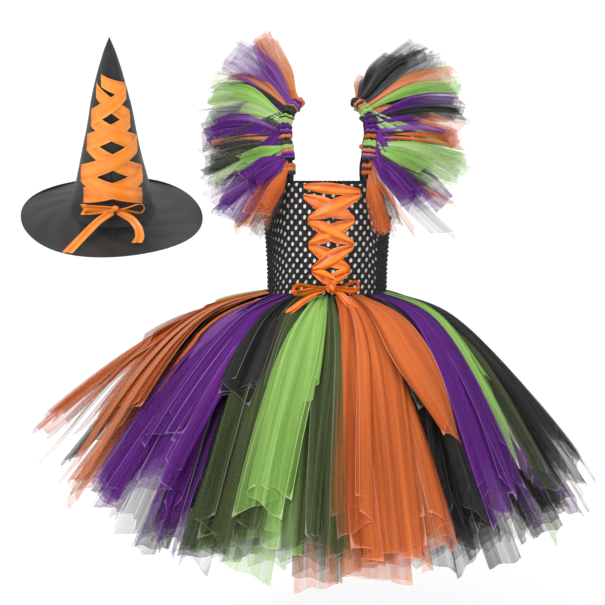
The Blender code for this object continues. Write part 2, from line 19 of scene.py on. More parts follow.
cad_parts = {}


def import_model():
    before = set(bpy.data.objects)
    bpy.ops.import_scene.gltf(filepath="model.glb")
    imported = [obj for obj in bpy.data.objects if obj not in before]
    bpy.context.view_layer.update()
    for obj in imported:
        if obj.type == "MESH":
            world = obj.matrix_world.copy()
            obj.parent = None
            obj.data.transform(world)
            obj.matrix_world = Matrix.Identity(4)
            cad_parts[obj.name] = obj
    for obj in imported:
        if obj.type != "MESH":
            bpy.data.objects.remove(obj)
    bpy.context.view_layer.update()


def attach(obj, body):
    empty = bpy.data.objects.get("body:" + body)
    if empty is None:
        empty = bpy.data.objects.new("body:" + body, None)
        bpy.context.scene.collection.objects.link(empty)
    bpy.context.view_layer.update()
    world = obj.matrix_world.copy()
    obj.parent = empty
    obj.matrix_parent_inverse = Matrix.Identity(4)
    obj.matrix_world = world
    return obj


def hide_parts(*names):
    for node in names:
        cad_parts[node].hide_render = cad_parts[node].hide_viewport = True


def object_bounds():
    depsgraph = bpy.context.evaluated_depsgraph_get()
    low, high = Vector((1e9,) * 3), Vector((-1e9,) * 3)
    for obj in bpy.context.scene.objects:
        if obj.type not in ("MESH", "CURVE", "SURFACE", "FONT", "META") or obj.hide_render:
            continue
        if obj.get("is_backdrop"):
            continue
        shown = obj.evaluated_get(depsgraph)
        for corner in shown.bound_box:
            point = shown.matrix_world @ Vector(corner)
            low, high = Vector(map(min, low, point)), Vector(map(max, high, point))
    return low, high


LOG = logging.getLogger("witch_costume")
BODY = "root"
CLOTH_MAP = "cloth"

Array = np.ndarray
Colour = tuple[float, float, float]


# Shapes worked out as arrays


def smooth_step(x: Array) -> Array:
    """0 below 0, 1 above 1, and the S-curve 3x^2 - 2x^3 between."""
    x = np.clip(x, 0.0, 1.0)
    return x * x * (3.0 - 2.0 * x)


def unit(vectors: Array) -> Array:
    """The vectors of the last axis, each divided by its length."""
    return vectors / np.maximum(np.linalg.norm(vectors, axis=-1, keepdims=True), 1e-12)


def grid_normals(points: Array, round_it: bool = False) -> Array:
    """Unit normals of a grid: the cross product of its central differences across and along.

    Args:
        points: grid of shape (across, along, 3).
        round_it: the grid closes on itself in its first axis.

    Returns:
        Normals of the same shape.
    """
    if round_it:
        padded = np.concatenate([points[-1:], points, points[:1]])
        return grid_normals(padded)[1:-1]
    across, along = np.gradient(points, axis=0), np.gradient(points, axis=1)
    return unit(np.cross(across, along))


@dataclass
class Patch:
    """A grid of cloth points with what its finish reads.

    Attributes:
        points: grid of shape (across, along, 3).
        across: metres across the cloth at each point.
        along: metres along the cloth at each point.
        veil: 1 where layers lie close together and hide what is behind, 0 where the cloth is single.
        ridge: painted light and shade, 1 where the finish paints the lit colour of a fold's crest, 0 where it paints
            the shaded colour of its trough.
        edge: 1 on a cut or folded edge, 0 inside; the net and satin finishes paint a highlight along it.
        tint: one shade for the whole patch, 0 dark to 1 light.
        round_it: the grid closes on itself in its first axis.
        finish: which of the piece's materials it wears.
    """

    points: Array
    across: Array
    along: Array
    veil: Array
    ridge: Array
    edge: Array
    tint: float = 0.5
    round_it: bool = False
    finish: int = 0


def patch_from(points: Array, across: float, along: float, **more: object) -> Patch:
    """A patch whose cloth coordinates run evenly over the given width and length.

    Args:
        points: grid of shape (across, along, 3).
        across: width of the cloth in metres.
        along: length of the cloth in metres.
        **more: veil, ridge, edge, tint, round_it or finish, where they aren't plain.

    Returns:
        The patch.
    """
    rows, columns = points.shape[:2]
    u = np.linspace(0.0, across, rows)[:, None] * np.ones((1, columns))
    v = np.linspace(0.0, along, columns)[None, :] * np.ones((rows, 1))
    shape = (rows, columns)
    plain = {"veil": np.ones(shape), "ridge": np.full(shape, 0.5), "edge": np.zeros(shape)}
    plain.update(more)
    return Patch(points=points, across=u, along=v, **plain)


def grid_faces(shape: tuple[int, int], start: int, round_it: bool) -> Array:
    """Corner numbers of the quads between neighbouring grid points.

    Args:
        shape: grid points across and along.
        start: number of the grid's first point.
        round_it: join the last row to the first.

    Returns:
        Array of shape (quads, 4).
    """
    index = start + np.arange(shape[0] * shape[1]).reshape(shape)
    if round_it:
        index = np.concatenate([index, index[:1]])
    corners = (index[:-1, :-1], index[1:, :-1], index[1:, 1:], index[:-1, 1:])
    return np.stack(corners, axis=-1).reshape(-1, 4)


def mesh_piece(name: str, patches: Sequence[Patch], finishes: Sequence[bpy.types.Material]) -> bpy.types.Object:
    """One object from several patches, with the cloth map and the attributes that the finishes read.

    Args:
        name: the piece's name.
        patches: its grids.
        finishes: materials, in the order that the patches number them.

    Returns:
        The object, at the origin, unturned and unscaled.
    """
    counts = [patch.points.shape[0] * patch.points.shape[1] for patch in patches]
    starts = np.concatenate([[0], np.cumsum(counts)[:-1]]).astype(int)
    points = np.concatenate([patch.points.reshape(-1, 3) for patch in patches])
    faces = [grid_faces(p.points.shape[:2], start, p.round_it) for p, start in zip(patches, starts)]
    wears = np.concatenate([np.full(len(f), p.finish) for f, p in zip(faces, patches)])
    quads = np.concatenate(faces)

    mesh = bpy.data.meshes.new(name)
    mesh.vertices.add(len(points))
    mesh.vertices.foreach_set("co", points.astype(np.float32).ravel())
    mesh.loops.add(quads.size)
    mesh.loops.foreach_set("vertex_index", quads.astype(np.int32).ravel())
    mesh.polygons.add(len(quads))
    mesh.polygons.foreach_set("loop_start", np.arange(0, quads.size, 4, dtype=np.int32))
    mesh.polygons.foreach_set("material_index", wears.astype(np.int32))
    mesh.update(calc_edges=True)
    mesh.validate()

    across = np.concatenate([patch.across.ravel() for patch in patches])
    along = np.concatenate([patch.along.ravel() for patch in patches])
    corner = np.empty(len(mesh.loops), np.int32)
    mesh.loops.foreach_get("vertex_index", corner)
    places = np.stack([across[corner], along[corner]], axis=-1)
    mesh.uv_layers.new(name=CLOTH_MAP).data.foreach_set("uv", places.astype(np.float32).ravel())
    for label in ("veil", "ridge", "edge"):
        values = np.concatenate([getattr(patch, label).ravel() for patch in patches])
        mesh.attributes.new(label, "FLOAT", "POINT").data.foreach_set("value", values.astype(np.float32))
    tints = np.concatenate([np.full(count, patch.tint) for patch, count in zip(patches, counts)])
    mesh.attributes.new("tint", "FLOAT", "POINT").data.foreach_set("value", tints.astype(np.float32))
    mesh.shade_smooth()
    for finish in finishes:
        mesh.materials.append(finish)
    piece = bpy.data.objects.new(name, mesh)
    bpy.context.collection.objects.link(piece)
    return piece


def cloth_area(patches: Sequence[Patch]) -> float:
    """Area of all the patches: half the length of the cross product of each quad's diagonals, summed."""
    total = 0.0
    for patch in patches:
        grid = np.concatenate([patch.points, patch.points[:1]]) if patch.round_it else patch.points
        first, second = grid[1:, 1:] - grid[:-1, :-1], grid[:-1, 1:] - grid[1:, :-1]
        total += 0.5 * float(np.linalg.norm(np.cross(first, second), axis=-1).sum())
    return total


def summed_width(patches: Sequence[Patch], length: float) -> float:
    """Width of all the strips side by side at that length, rounded up to a whole millimetre."""
    return math.ceil(cloth_area(patches) / length * 1000.0) / 1000.0


def tube_patch(line: Array, radii: Array, sides: int, flat: float = 1.0, **more: object) -> Patch:
    """A round or oval tube along a line: at each point a ring of that radius in the plane square to the line.

    Args:
        line: points of the centreline, shape (n, 3).
        radii: radius at each point.
        sides: points round the ring.
        flat: the ring's second radius as a share of the first.
        **more: what patch_from takes.

    Returns:
        The tube, closed round its axis, its two ends drawn in to a point.
    """
    ahead = unit(np.gradient(line, axis=0))
    guide = np.array([0.31, 0.22, 0.92])
    if abs(float(ahead[0] @ guide)) >= 0.9:
        guide = np.array([1.0, 0.0, 0.0])
    first = unit(np.cross(ahead, guide))
    second = np.cross(ahead, first)
    turn = np.arange(sides)[:, None, None] / sides * 2.0 * math.pi
    size = np.asarray(radii, float)[None, :, None]
    points = line[None] + size * (np.cos(turn) * first[None] + flat * np.sin(turn) * second[None])
    start, end = (np.repeat(tip, sides, axis=0) for tip in (line[None, :1], line[None, -1:]))
    points = np.concatenate([start, points, end], axis=1)
    length = float(np.linalg.norm(np.diff(line, axis=0), axis=1).sum())
    return patch_from(points, 2.0 * math.pi * float(np.mean(radii)), length, round_it=True, **more)


def wrinkles(u: Array, v: Array, count: float, rng: np.random.Generator) -> Array:
    """Long folds: three sine waves across, each with its own phase that drifts a little along the cloth.

    Args:
        u: place across, -1 to 1.
        v: place along, 0 to 1.
        count: folds across the whole width.
        rng: seeded source of the phases.

    Returns:
        Heights from about -1 to 1.
    """
    total = 0.0 * u * v
    for share, size in ((0.55, 0.55), (1.0, 0.75), (1.9, 0.30)):
        phase, drift = rng.uniform(0.0, 2.0 * math.pi), rng.uniform(-1.6, 1.6)
        total = total + size * np.sin(math.pi * count * share * u + phase + drift * v)
    return np.sign(total) * np.abs(total / 1.2) ** 0.8


def smooth_line(stops: Sequence[Colour], count: int) -> Array:
    """A soft line through stops: straight between them by length, then averaged with its neighbours three times."""
    fixed = np.array(stops)
    length = np.concatenate([[0.0], np.cumsum(np.linalg.norm(np.diff(fixed, axis=0), axis=1))])
    at = np.linspace(0.0, length[-1], count)
    line = np.stack([np.interp(at, length, fixed[:, axis]) for axis in range(3)], axis=-1)
    for _ in range(max(3, count // 6)):
        line[1:-1] = 0.25 * line[:-2] + 0.5 * line[1:-1] + 0.25 * line[2:]
    return line


def ribbon_patch(line: Array, wide: Array, half: Array, folds: float, seed: int, slant: float = 0.0) -> Patch:
    """A ribbon along a line: across it in the given direction, with soft lengthwise folds along its normal.

    Args:
        line: points of its middle, shape (n, 3).
        wide: direction across it at each point.
        half: half its width at each point.
        folds: height of the folds in metres.
        seed: of the folds.
        slant: how far its far end is cut on the slant, in metres.

    Returns:
        The ribbon.
    """
    rng = np.random.default_rng(seed)
    ahead = unit(np.gradient(line, axis=0))
    wide = unit(wide - (wide * ahead).sum(axis=-1, keepdims=True) * ahead)
    normal = np.cross(ahead, wide)
    u = np.linspace(-1.0, 1.0, 13)[:, None]
    v = np.linspace(0.0, 1.0, len(line))[None, :]
    waves = wrinkles(u, v * 2.0, 1.7, rng)
    points = line[None] + wide[None] * (np.asarray(half)[None, :] * u)[:, :, None] + normal[None] * (folds * waves)[:, :, None]
    points = points + ahead[None] * (slant * u * smooth_step((v - 0.6) / 0.4))[:, :, None]
    length = float(np.linalg.norm(np.diff(line, axis=0), axis=1).sum())
    # Painted light and shade: the fold heights paint crests lit and troughs shaded; the edge mark lies along both
    # sides.
    return patch_from(points, 2.0 * float(np.mean(half)), length, ridge=np.clip(0.55 + 0.45 * waves, 0.0, 1.0), edge=np.abs(u) + 0.0 * v)


def knob(centre: Colour, half: Colour, seed: int) -> Patch:
    """A tied knot: an ellipsoid, its radius rippled by folds that run over it."""
    rng = np.random.default_rng(seed)
    around = np.arange(28)[:, None] / 28.0 * 2.0 * math.pi
    up = np.linspace(-math.pi / 2, math.pi / 2, 15)[None, :]
    ripple = 1.0 + 0.10 * np.sin(4.0 * around + 2.0 * up + rng.uniform(0.0, 6.0)) * np.cos(up) + 0.05 * np.sin(7.0 * around) * np.cos(up)
    shape = np.stack([np.cos(up) * np.sin(around), -np.cos(up) * np.cos(around), np.sin(up) + 0.0 * around], axis=-1)
    points = np.array(centre) + shape * ripple[:, :, None] * np.array(half)
    # Painted light and shade: where the folds swell, the knot is painted lit; where they sink, it is painted shaded.
    return patch_from(points, 0.03, 0.02, round_it=True, ridge=np.clip(4.0 * (ripple - 0.88), 0.0, 1.0))


@dataclass(frozen=True)
class Loop:
    """A bow's loop seen from the front.

    Attributes:
        side: -1 to the viewer's left, 1 to the right.
        root: distance of its start from the knot's middle.
        length: how far it reaches from there.
        rise: how far its far end stands above the knot, in metres.
        open: how far apart its two layers stand at the middle, in metres.
        depth: how far it comes forward, in metres.
        half: half the ribbon's width.
        tilt: degrees by which the band is turned to show its opening; at 0 its face is seen.
    """

    side: int
    root: float
    length: float
    rise: float
    open: float
    depth: float
    half: float
    tilt: float

    def patch(self, centre: Colour, seed: int) -> Patch:
        """The ribbon out to the end and back: out as a sine wave, up and forward as waves of once and twice that pace."""
        t = np.linspace(0.0, 1.0, 45)
        arch = np.sin(math.pi * t)
        out = self.root * 0.6 + (self.root * 0.4 + self.length) * arch**0.8
        up = self.rise * arch**1.5 + self.open * np.sin(2.0 * math.pi * t) * arch**0.5
        ahead = self.depth * (0.3 + 0.7 * arch) + 0.35 * self.depth * np.sin(2.0 * math.pi * t)
        line = np.array(centre) + np.stack([self.side * out, -ahead, up], axis=-1)
        tilt = np.radians(self.tilt + 18.0 * np.cos(math.pi * t))
        wide = np.stack([0.0 * t, -np.sin(tilt), np.cos(tilt)], axis=-1)
        return ribbon_patch(line, wide, self.half * (0.45 + 0.55 * arch**0.7), 0.0006, seed)


@dataclass(frozen=True)
class Hang:
    """How one strip of net hangs.

    Attributes:
        half: half its width where it is widest, in metres.
        slant: how much shorter its cut end is on one side, as a share of its length.
        turned: how much of its half width is folded back over its face, 0 to 0.9.
        folds: long folds across it.
        depth: height of the folds in metres.
        twist: degrees by which it is turned about its length, away from lying flat.
        root: its width at the knot as a share of its widest.
        taper: how much it narrows to a rounded tip.
    """

    half: float
    slant: float = 0.06
    turned: float = 0.35
    folds: float = 1.6
    depth: float = 0.0035
    twist: float = 0.0
    root: float = 0.30
    taper: float = 0.0


@dataclass(frozen=True)
class Line:
    """Where a strip's middle runs, on a grid of (across, along): points, unit vectors sideways and outwards."""

    points: Array
    side: Array
    out: Array


def strip_ends(hang: Hang, across: int, along: int, rng: np.random.Generator) -> tuple[Array, Array]:
    """Cut coordinates of a strip: across from -1 to 1, and along from 0 to where its slanted end is.

    Args:
        hang: how the strip hangs.
        across: points across.
        along: points along.
        rng: seeded source of the side of the slant and its size.

    Returns:
        Across (one column) and along (a grid).
    """
    u = np.linspace(-1.0, 1.0, across)[:, None]
    v = np.linspace(0.0, 1.0, along)[None, :]
    slant = hang.slant * rng.uniform(0.6, 1.4)
    ripple = 0.003 * np.sin(7.0 * u + rng.uniform(0.0, 6.0))
    return u, v * (1.0 - abs(slant) * (1.0 + np.sign(slant) * u) / 2.0 + ripple)


def strip_patch(line: Line, hang: Hang, u: Array, along: Array, lift: Array, rng: np.random.Generator, fade: float) -> Patch:
    """One sheet of net about its middle line, partly folded back over its face.

    Sideways it runs from one side to the other and then back by the turned share; outwards it has the lift, long
    folds, a gap of 1.5 mm at the part that is turned back, and edges that curl down.

    Args:
        line: where its middle runs.
        hang: how it hangs.
        u: place across the cut, -1 to 1.
        along: place along, 0 to about 1.
        lift: how far off the line it lies at each place along.
        rng: seeded source of its folds.
        fade: how far along the gathered cloth thins out.

    Returns:
        The sheet.
    """
    turn_at = 2.0 / (1.0 + hang.turned) - 1.0
    there = 2.0 * (u + 1.0) / (turn_at + 1.0) - 1.0
    back = 1.0 - 2.0 * hang.turned * (u - turn_at) / max(1.0 - turn_at, 1e-6)
    place = np.where(u < turn_at, there, back) * (1.0 if rng.random() < 0.5 else -1.0)
    over = smooth_step((u - turn_at) / 0.12)
    spread = smooth_step(along / 0.5)
    swell = (hang.root + (1.0 - hang.root) * spread) * np.sqrt(1.0 - hang.taper * smooth_step(along / along.max() * 1.6 - 0.6) ** 2)
    waves = wrinkles(u, along, hang.folds, rng)
    twist = np.radians(hang.twist) * spread
    cos, sin = np.cos(twist)[:, :, None], np.sin(twist)[:, :, None]
    sideways, outwards = cos * line.side + sin * line.out, cos * line.out - sin * line.side
    curl = -0.12 * hang.half * np.abs(place) ** 3 * spread
    height = lift + curl + 0.0015 * over + hang.depth * waves * (0.15 + 0.85 * spread)
    points = line.points + sideways * (hang.half * swell * place)[:, :, None] + outwards * height[:, :, None]
    # Painted light and shade below: fold crests painted lit, troughs shaded, and a painted highlight along the crease
    # where the sheet turns back.
    crease = np.exp(-(((u - turn_at) / 0.05) ** 2)) if hang.turned > 0.02 else 0.0 * u
    length = float(np.linalg.norm(np.diff(line.points[u.size // 2], axis=0), axis=1).sum())
    end = 1.0 - (1.0 - np.linspace(0.0, 1.0, along.shape[1])[None, :]) * max(length, 0.02) / 0.02
    return patch_from(
        points,
        2.0 * hang.half * (1.0 + hang.turned),
        length,
        veil=np.clip(1.0 - smooth_step((along - 0.10) / fade), 0.0, 1.0),
        ridge=np.clip(0.5 + 0.5 * waves + 0.35 * crease, 0.0, 1.0),
        edge=np.maximum(np.abs(u), np.clip(end, 0.0, 1.0)),
        tint=float(rng.uniform(0.2, 0.8)),
    )


# Finishes


class NodeSketch:
    """Adds nodes to a tree and links them, so that a finish reads as a list of steps."""

    def __init__(self, tree: bpy.types.NodeTree) -> None:
        """Keeps the tree and clears what it holds."""
        self.tree = tree
        tree.nodes.clear()

    def add(self, kind: str, **inputs: object) -> bpy.types.Node:
        """A node of that kind, with named inputs set to a value or linked to a socket."""
        node = self.tree.nodes.new(kind)
        for label, value in inputs.items():
            self.feed(node.inputs[label.replace("_", " ")], value)
        return node

    def feed(self, socket: bpy.types.NodeSocket, value: object) -> None:
        """Links a socket to the input, or sets its plain value."""
        if isinstance(value, bpy.types.NodeSocket):
            self.tree.links.new(value, socket)
        else:
            socket.default_value = (*value, 1.0) if isinstance(value, tuple) and socket.type == "RGBA" else value

    def math(
        self, operation: str, first: object, second: object, third: float = 0.0, clamp: bool = False
    ) -> bpy.types.NodeSocket:
        """The result of a Math node."""
        node = self.tree.nodes.new("ShaderNodeMath")
        node.operation, node.use_clamp = operation, clamp
        for socket, value in zip(node.inputs, (first, second, third)):
            self.feed(socket, value)
        return node.outputs[0]

    def spread(self, noise: bpy.types.NodeSocket, contrast: float) -> bpy.types.NodeSocket:
        """Noise about 0 instead of 0.5, with more contrast."""
        return self.math("MULTIPLY", self.math("SUBTRACT", noise, 0.5), contrast)

    def mix(self, share: object, first: object, second: object, blend: str = "MIX") -> bpy.types.NodeSocket:
        """A colour between two colours."""
        node = self.tree.nodes.new("ShaderNodeMix")
        node.data_type, node.blend_type = "RGBA", blend
        self.feed(node.inputs[0], share)
        self.feed(node.inputs[6], first)
        self.feed(node.inputs[7], second)
        return node.outputs[2]

    def attribute(self, name: str) -> bpy.types.NodeSocket:
        """The value of a point attribute."""
        node = self.tree.nodes.new("ShaderNodeAttribute")
        node.attribute_name = name
        return node.outputs["Fac"]

    def place(self, scale: Colour, on_cloth: bool = True) -> bpy.types.NodeSocket:
        """Cloth coordinates or object coordinates, stretched by the three scales."""
        if on_cloth:
            source = self.tree.nodes.new("ShaderNodeUVMap")
            source.uv_map = CLOTH_MAP
            start = source.outputs["UV"]
        else:
            start = self.tree.nodes.new("ShaderNodeTexCoord").outputs["Object"]
        node = self.tree.nodes.new("ShaderNodeMapping")
        self.feed(node.inputs["Vector"], start)
        node.inputs["Scale"].default_value = scale
        return node.outputs["Vector"]

    def noise(self, place: bpy.types.NodeSocket, scale: float, detail: float = 3.0) -> bpy.types.NodeSocket:
        """Soft noise from about 0.3 to 0.7."""
        return self.add("ShaderNodeTexNoise", Vector=place, Scale=scale, Detail=detail).outputs["Fac"]

    def bands(self, place: bpy.types.NodeSocket, scale: float, direction: str) -> bpy.types.NodeSocket:
        """Straight threads, as a sine wave from 0 to 1 along X or Y."""
        node = self.add("ShaderNodeTexWave", Vector=place, Scale=scale, Distortion=0.6)
        node.inputs["Detail Scale"].default_value = 1.0
        node.bands_direction = direction
        return node.outputs["Fac"]


def group_tree(
    name: str, inputs: Sequence[tuple[str, str, object]], outputs: Sequence[tuple[str, str]]
) -> tuple[NodeSketch, bpy.types.NodeTree]:
    """A new shader node group with named sockets.

    Args:
        name: the group's name.
        inputs: each input's name, socket type and plain value.
        outputs: each output's name and socket type.

    Returns:
        The sketch that fills the group, and its tree.
    """
    tree = bpy.data.node_groups.new(name, "ShaderNodeTree")
    sketch = NodeSketch(tree)
    for label, kind, value in inputs:
        tree.interface.new_socket(label, in_out="INPUT", socket_type=kind).default_value = value
    for label, kind in outputs:
        tree.interface.new_socket(label, in_out="OUTPUT", socket_type=kind)
    return sketch, tree


def net_group() -> bpy.types.NodeTree:
    """Fine net: its colour, with painted shade in fold troughs and painted highlights on crests and edges, how much of
    it hides what is behind, and the relief of its threads.
    """
    found = bpy.data.node_groups.get("fine_net")
    if found:
        return found
    sketch, tree = group_tree(
        "fine_net",
        [
            ("Light", "NodeSocketColor", (1, 1, 1, 1)),
            ("Deep", "NodeSocketColor", (0, 0, 0, 1)),
            ("Sheer", "NodeSocketFloat", 0.5),
            ("Dense", "NodeSocketFloat", 0.95),
        ],
        [("Color", "NodeSocketColor"), ("Alpha", "NodeSocketFloat"), ("Height", "NodeSocketFloat")],
    )
    start = sketch.add("NodeGroupInput").outputs
    veil, ridge, side, tint = (sketch.attribute(label) for label in ("veil", "ridge", "edge", "tint"))
    edge = sketch.math("MULTIPLY", sketch.math("SUBTRACT", side, 0.965), 30.0, clamp=True)
    hairs = sketch.spread(sketch.noise(sketch.place((330.0, 5.0, 1.0)), 1.0), 2.4)
    streaks = sketch.spread(sketch.noise(sketch.place((95.0, 4.0, 1.0)), 1.0), 2.2)
    clouds = sketch.spread(sketch.noise(sketch.place((22.0, 12.0, 1.0)), 1.0), 1.6)
    shade = sketch.math("ADD", sketch.math("MULTIPLY", hairs, 0.30), sketch.math("MULTIPLY", streaks, 0.45))
    # Painted light and shade: the fold mark moves the colour from the shaded to the lit colour; the streaks and the
    # random tint are the net's own uneven tone.
    lit = sketch.math("ADD", sketch.math("MULTIPLY", ridge, 0.55), shade)
    lit = sketch.math("ADD", lit, sketch.math("MULTIPLY_ADD", tint, 0.5, third=-0.22), clamp=True)
    colour = sketch.mix(lit, start["Deep"], start["Light"])
    # Painted highlight: cut and folded edges are mixed towards a paler lit colour; further down, the same edges also
    # cover more, as the cloth doubles.
    colour = sketch.mix(sketch.math("MULTIPLY", edge, 0.5), colour, sketch.mix(0.25, start["Light"], (1.0, 1.0, 1.0)))
    span = sketch.math("SUBTRACT", start["Dense"], start["Sheer"])
    cover = sketch.math("ADD", start["Sheer"], sketch.math("MULTIPLY", span, veil))
    ripple = sketch.math("ADD", sketch.math("MULTIPLY", streaks, 0.26), sketch.math("MULTIPLY", clouds, 0.20))
    ripple = sketch.math("ADD", ripple, sketch.math("MULTIPLY", hairs, 0.22))
    loose = sketch.math("MULTIPLY_ADD", veil, -0.75, third=1.0)
    cover = sketch.math("ADD", cover, sketch.math("MULTIPLY", ripple, loose))
    cover = sketch.math("ADD", cover, sketch.math("MULTIPLY", edge, 0.30), clamp=True)
    threads = sketch.place((1.0, 1.0, 1.0))
    net = sketch.math("MULTIPLY", sketch.bands(threads, 190.0, "X"), sketch.bands(threads, 190.0, "Y"))
    end = sketch.add("NodeGroupOutput")
    sketch.feed(end.inputs["Color"], colour)
    sketch.feed(end.inputs["Alpha"], cover)
    sketch.feed(end.inputs["Height"], sketch.math("ADD", sketch.math("MULTIPLY", net, 0.4), streaks))
    return tree


def weave_group() -> bpy.types.NodeTree:
    """Close weave: two sets of fine threads and slow creases, as one height, with a mask of the creases."""
    found = bpy.data.node_groups.get("close_weave")
    if found:
        return found
    sketch, tree = group_tree(
        "close_weave",
        [("Threads", "NodeSocketFloat", 300.0), ("Creases", "NodeSocketFloat", 30.0)],
        [("Height", "NodeSocketFloat"), ("Crease", "NodeSocketFloat")],
    )
    start = sketch.add("NodeGroupInput").outputs
    place = sketch.place((1.0, 1.0, 1.0))
    warp = sketch.add("ShaderNodeTexWave", Vector=place, Scale=start["Threads"]).outputs["Fac"]
    crease = sketch.add("ShaderNodeTexNoise", Vector=place, Scale=start["Creases"], Detail=2.0).outputs["Fac"]
    end = sketch.add("NodeGroupOutput")
    sketch.feed(end.inputs["Height"], sketch.math("ADD", sketch.math("MULTIPLY", warp, 0.08), crease))
    sketch.feed(end.inputs["Crease"], crease)
    return tree


@dataclass(frozen=True)
class Finish:
    """A finish of the costume, made once as a material.

    Attributes:
        name: the material's name.
        light: the lit colour, painted as a highlight on fold crests and raised yarn; on the floor and the lining, the
            lighter tone of their mottle.
        deep: the shaded colour, painted as shade in fold troughs and stitch hollows; on the floor and the lining, the
            darker tone of their mottle.
    """

    name: str
    light: Colour
    deep: Colour

    def material(self) -> bpy.types.Material:
        """The material, built the first time that it is asked for."""
        found = bpy.data.materials.get(self.name)
        if found:
            return found
        made = bpy.data.materials.new(self.name)
        made.use_nodes = True
        sketch = NodeSketch(made.node_tree)
        shader = sketch.add("ShaderNodeBsdfPrincipled")
        sketch.feed(sketch.add("ShaderNodeOutputMaterial").inputs["Surface"], shader.outputs[0])
        self.dress(sketch, shader)
        return made

    def dress(self, sketch: NodeSketch, shader: bpy.types.Node) -> None:
        """Feeds the shader; each kind of finish has its own way."""
        raise NotImplementedError

    @staticmethod
    def relief(sketch: NodeSketch, shader: bpy.types.Node, height: bpy.types.NodeSocket, strength: float, depth: float) -> None:
        """Feeds the shader's normal from a height of that depth in metres."""
        bump = sketch.add("ShaderNodeBump", Strength=strength, Distance=depth, Height=height)
        sketch.feed(shader.inputs["Normal"], bump.outputs[0])


@dataclass(frozen=True)
class Tulle(Finish):
    """Soft net in one colour.

    Attributes:
        sheer: how much a single free layer hides.
        dense: how much the gathered layers at the root hide.
    """

    sheer: float = 0.55
    dense: float = 0.97

    def dress(self, sketch: NodeSketch, shader: bpy.types.Node) -> None:
        """Colour, cover and relief from the fine net group."""
        net = sketch.tree.nodes.new("ShaderNodeGroup")
        net.node_tree = net_group()
        # The lit and the shaded colour of the painted fold shading.
        net.inputs["Light"].default_value = (*self.light, 1.0)
        net.inputs["Deep"].default_value = (*self.deep, 1.0)
        net.inputs["Sheer"].default_value = self.sheer
        net.inputs["Dense"].default_value = self.dense
        sketch.feed(shader.inputs["Base Color"], net.outputs["Color"])
        sketch.feed(shader.inputs["Alpha"], net.outputs["Alpha"])
        shader.inputs["Roughness"].default_value = 0.7
        shader.inputs["Specular IOR Level"].default_value = 0.12
        self.relief(sketch, shader, net.outputs["Height"], 0.35, 0.0004)


@dataclass(frozen=True)
class Satin(Finish):
    """Smooth ribbon or cloth with a soft gloss.

    Attributes:
        roughness: of the gloss.
        threads: scale of the fine threads.
        creases: scale of the slow creases.
        depth: relief of the creases in metres.
        gloss: strength of the reflection.
    """

    roughness: float = 0.32
    threads: float = 300.0
    creases: float = 45.0
    depth: float = 0.0012
    gloss: float = 0.4

    def dress(self, sketch: NodeSketch, shader: bpy.types.Node) -> None:
        """Colour painted lit on fold crests and creases and shaded in their troughs, with a painted highlight on the
        edges; gloss broken by the creases, relief from the weave.
        """
        weave = sketch.tree.nodes.new("ShaderNodeGroup")
        weave.node_tree = weave_group()
        weave.inputs["Threads"].default_value = self.threads
        weave.inputs["Creases"].default_value = self.creases
        # Painted light and shade: the fold mark and the slow creases mix the shaded and the lit colour.
        crease = sketch.math("MULTIPLY_ADD", weave.outputs["Crease"], 1.2, third=-0.6)
        lit = sketch.math("ADD", sketch.attribute("ridge"), crease, clamp=True)
        colour = sketch.mix(lit, self.deep, self.light)
        # Painted highlight: the ribbon's edges are painted paler than its lit colour.
        edge = sketch.math("MULTIPLY", sketch.math("SUBTRACT", sketch.attribute("edge"), 0.88), 4.0, clamp=True)
        colour = sketch.mix(edge, colour, tuple(min(1.0, 1.25 * part + 0.05) for part in self.light))
        sketch.feed(shader.inputs["Base Color"], colour)
        sketch.feed(shader.inputs["Roughness"], sketch.math("MULTIPLY_ADD", weave.outputs["Crease"], 0.25, third=self.roughness - 0.12))
        shader.inputs["Specular IOR Level"].default_value = self.gloss
        self.relief(sketch, shader, weave.outputs["Height"], 0.6, self.depth)


@dataclass(frozen=True)
class Yarn(Finish):
    """Matt yarn, with a fine twist and a little fluff."""

    def dress(self, sketch: NodeSketch, shader: bpy.types.Node) -> None:
        """Colour from noise at the scale of the yarn's plies, times the fold mark, which paints shade in the stitches'
        hollows and a highlight on the raised yarn; relief from the same noise.
        """
        plies = sketch.noise(sketch.place((900.0, 900.0, 900.0), on_cloth=False), 1.0, 4.0)
        slow = sketch.noise(sketch.place((60.0, 60.0, 60.0), on_cloth=False), 1.0)
        lit = sketch.math("MULTIPLY", sketch.math("ADD", plies, slow), sketch.attribute("ridge"), clamp=True)
        sketch.feed(shader.inputs["Base Color"], sketch.mix(lit, self.deep, self.light))
        shader.inputs["Roughness"].default_value = 0.75
        shader.inputs["Specular IOR Level"].default_value = 0.08
        self.relief(sketch, shader, plies, 0.7, 0.0006)


@dataclass(frozen=True)
class Paper(Finish):
    """The plain pale floor and backdrop."""

    def dress(self, sketch: NodeSketch, shader: bpy.types.Node) -> None:
        """An even pale colour with a faint mottling."""
        mottle = sketch.noise(sketch.place((3.0, 3.0, 3.0), on_cloth=False), 1.0)
        sketch.feed(shader.inputs["Base Color"], sketch.mix(mottle, self.deep, self.light))
        shader.inputs["Roughness"].default_value = 0.9
        shader.inputs["Specular IOR Level"].default_value = 0.1


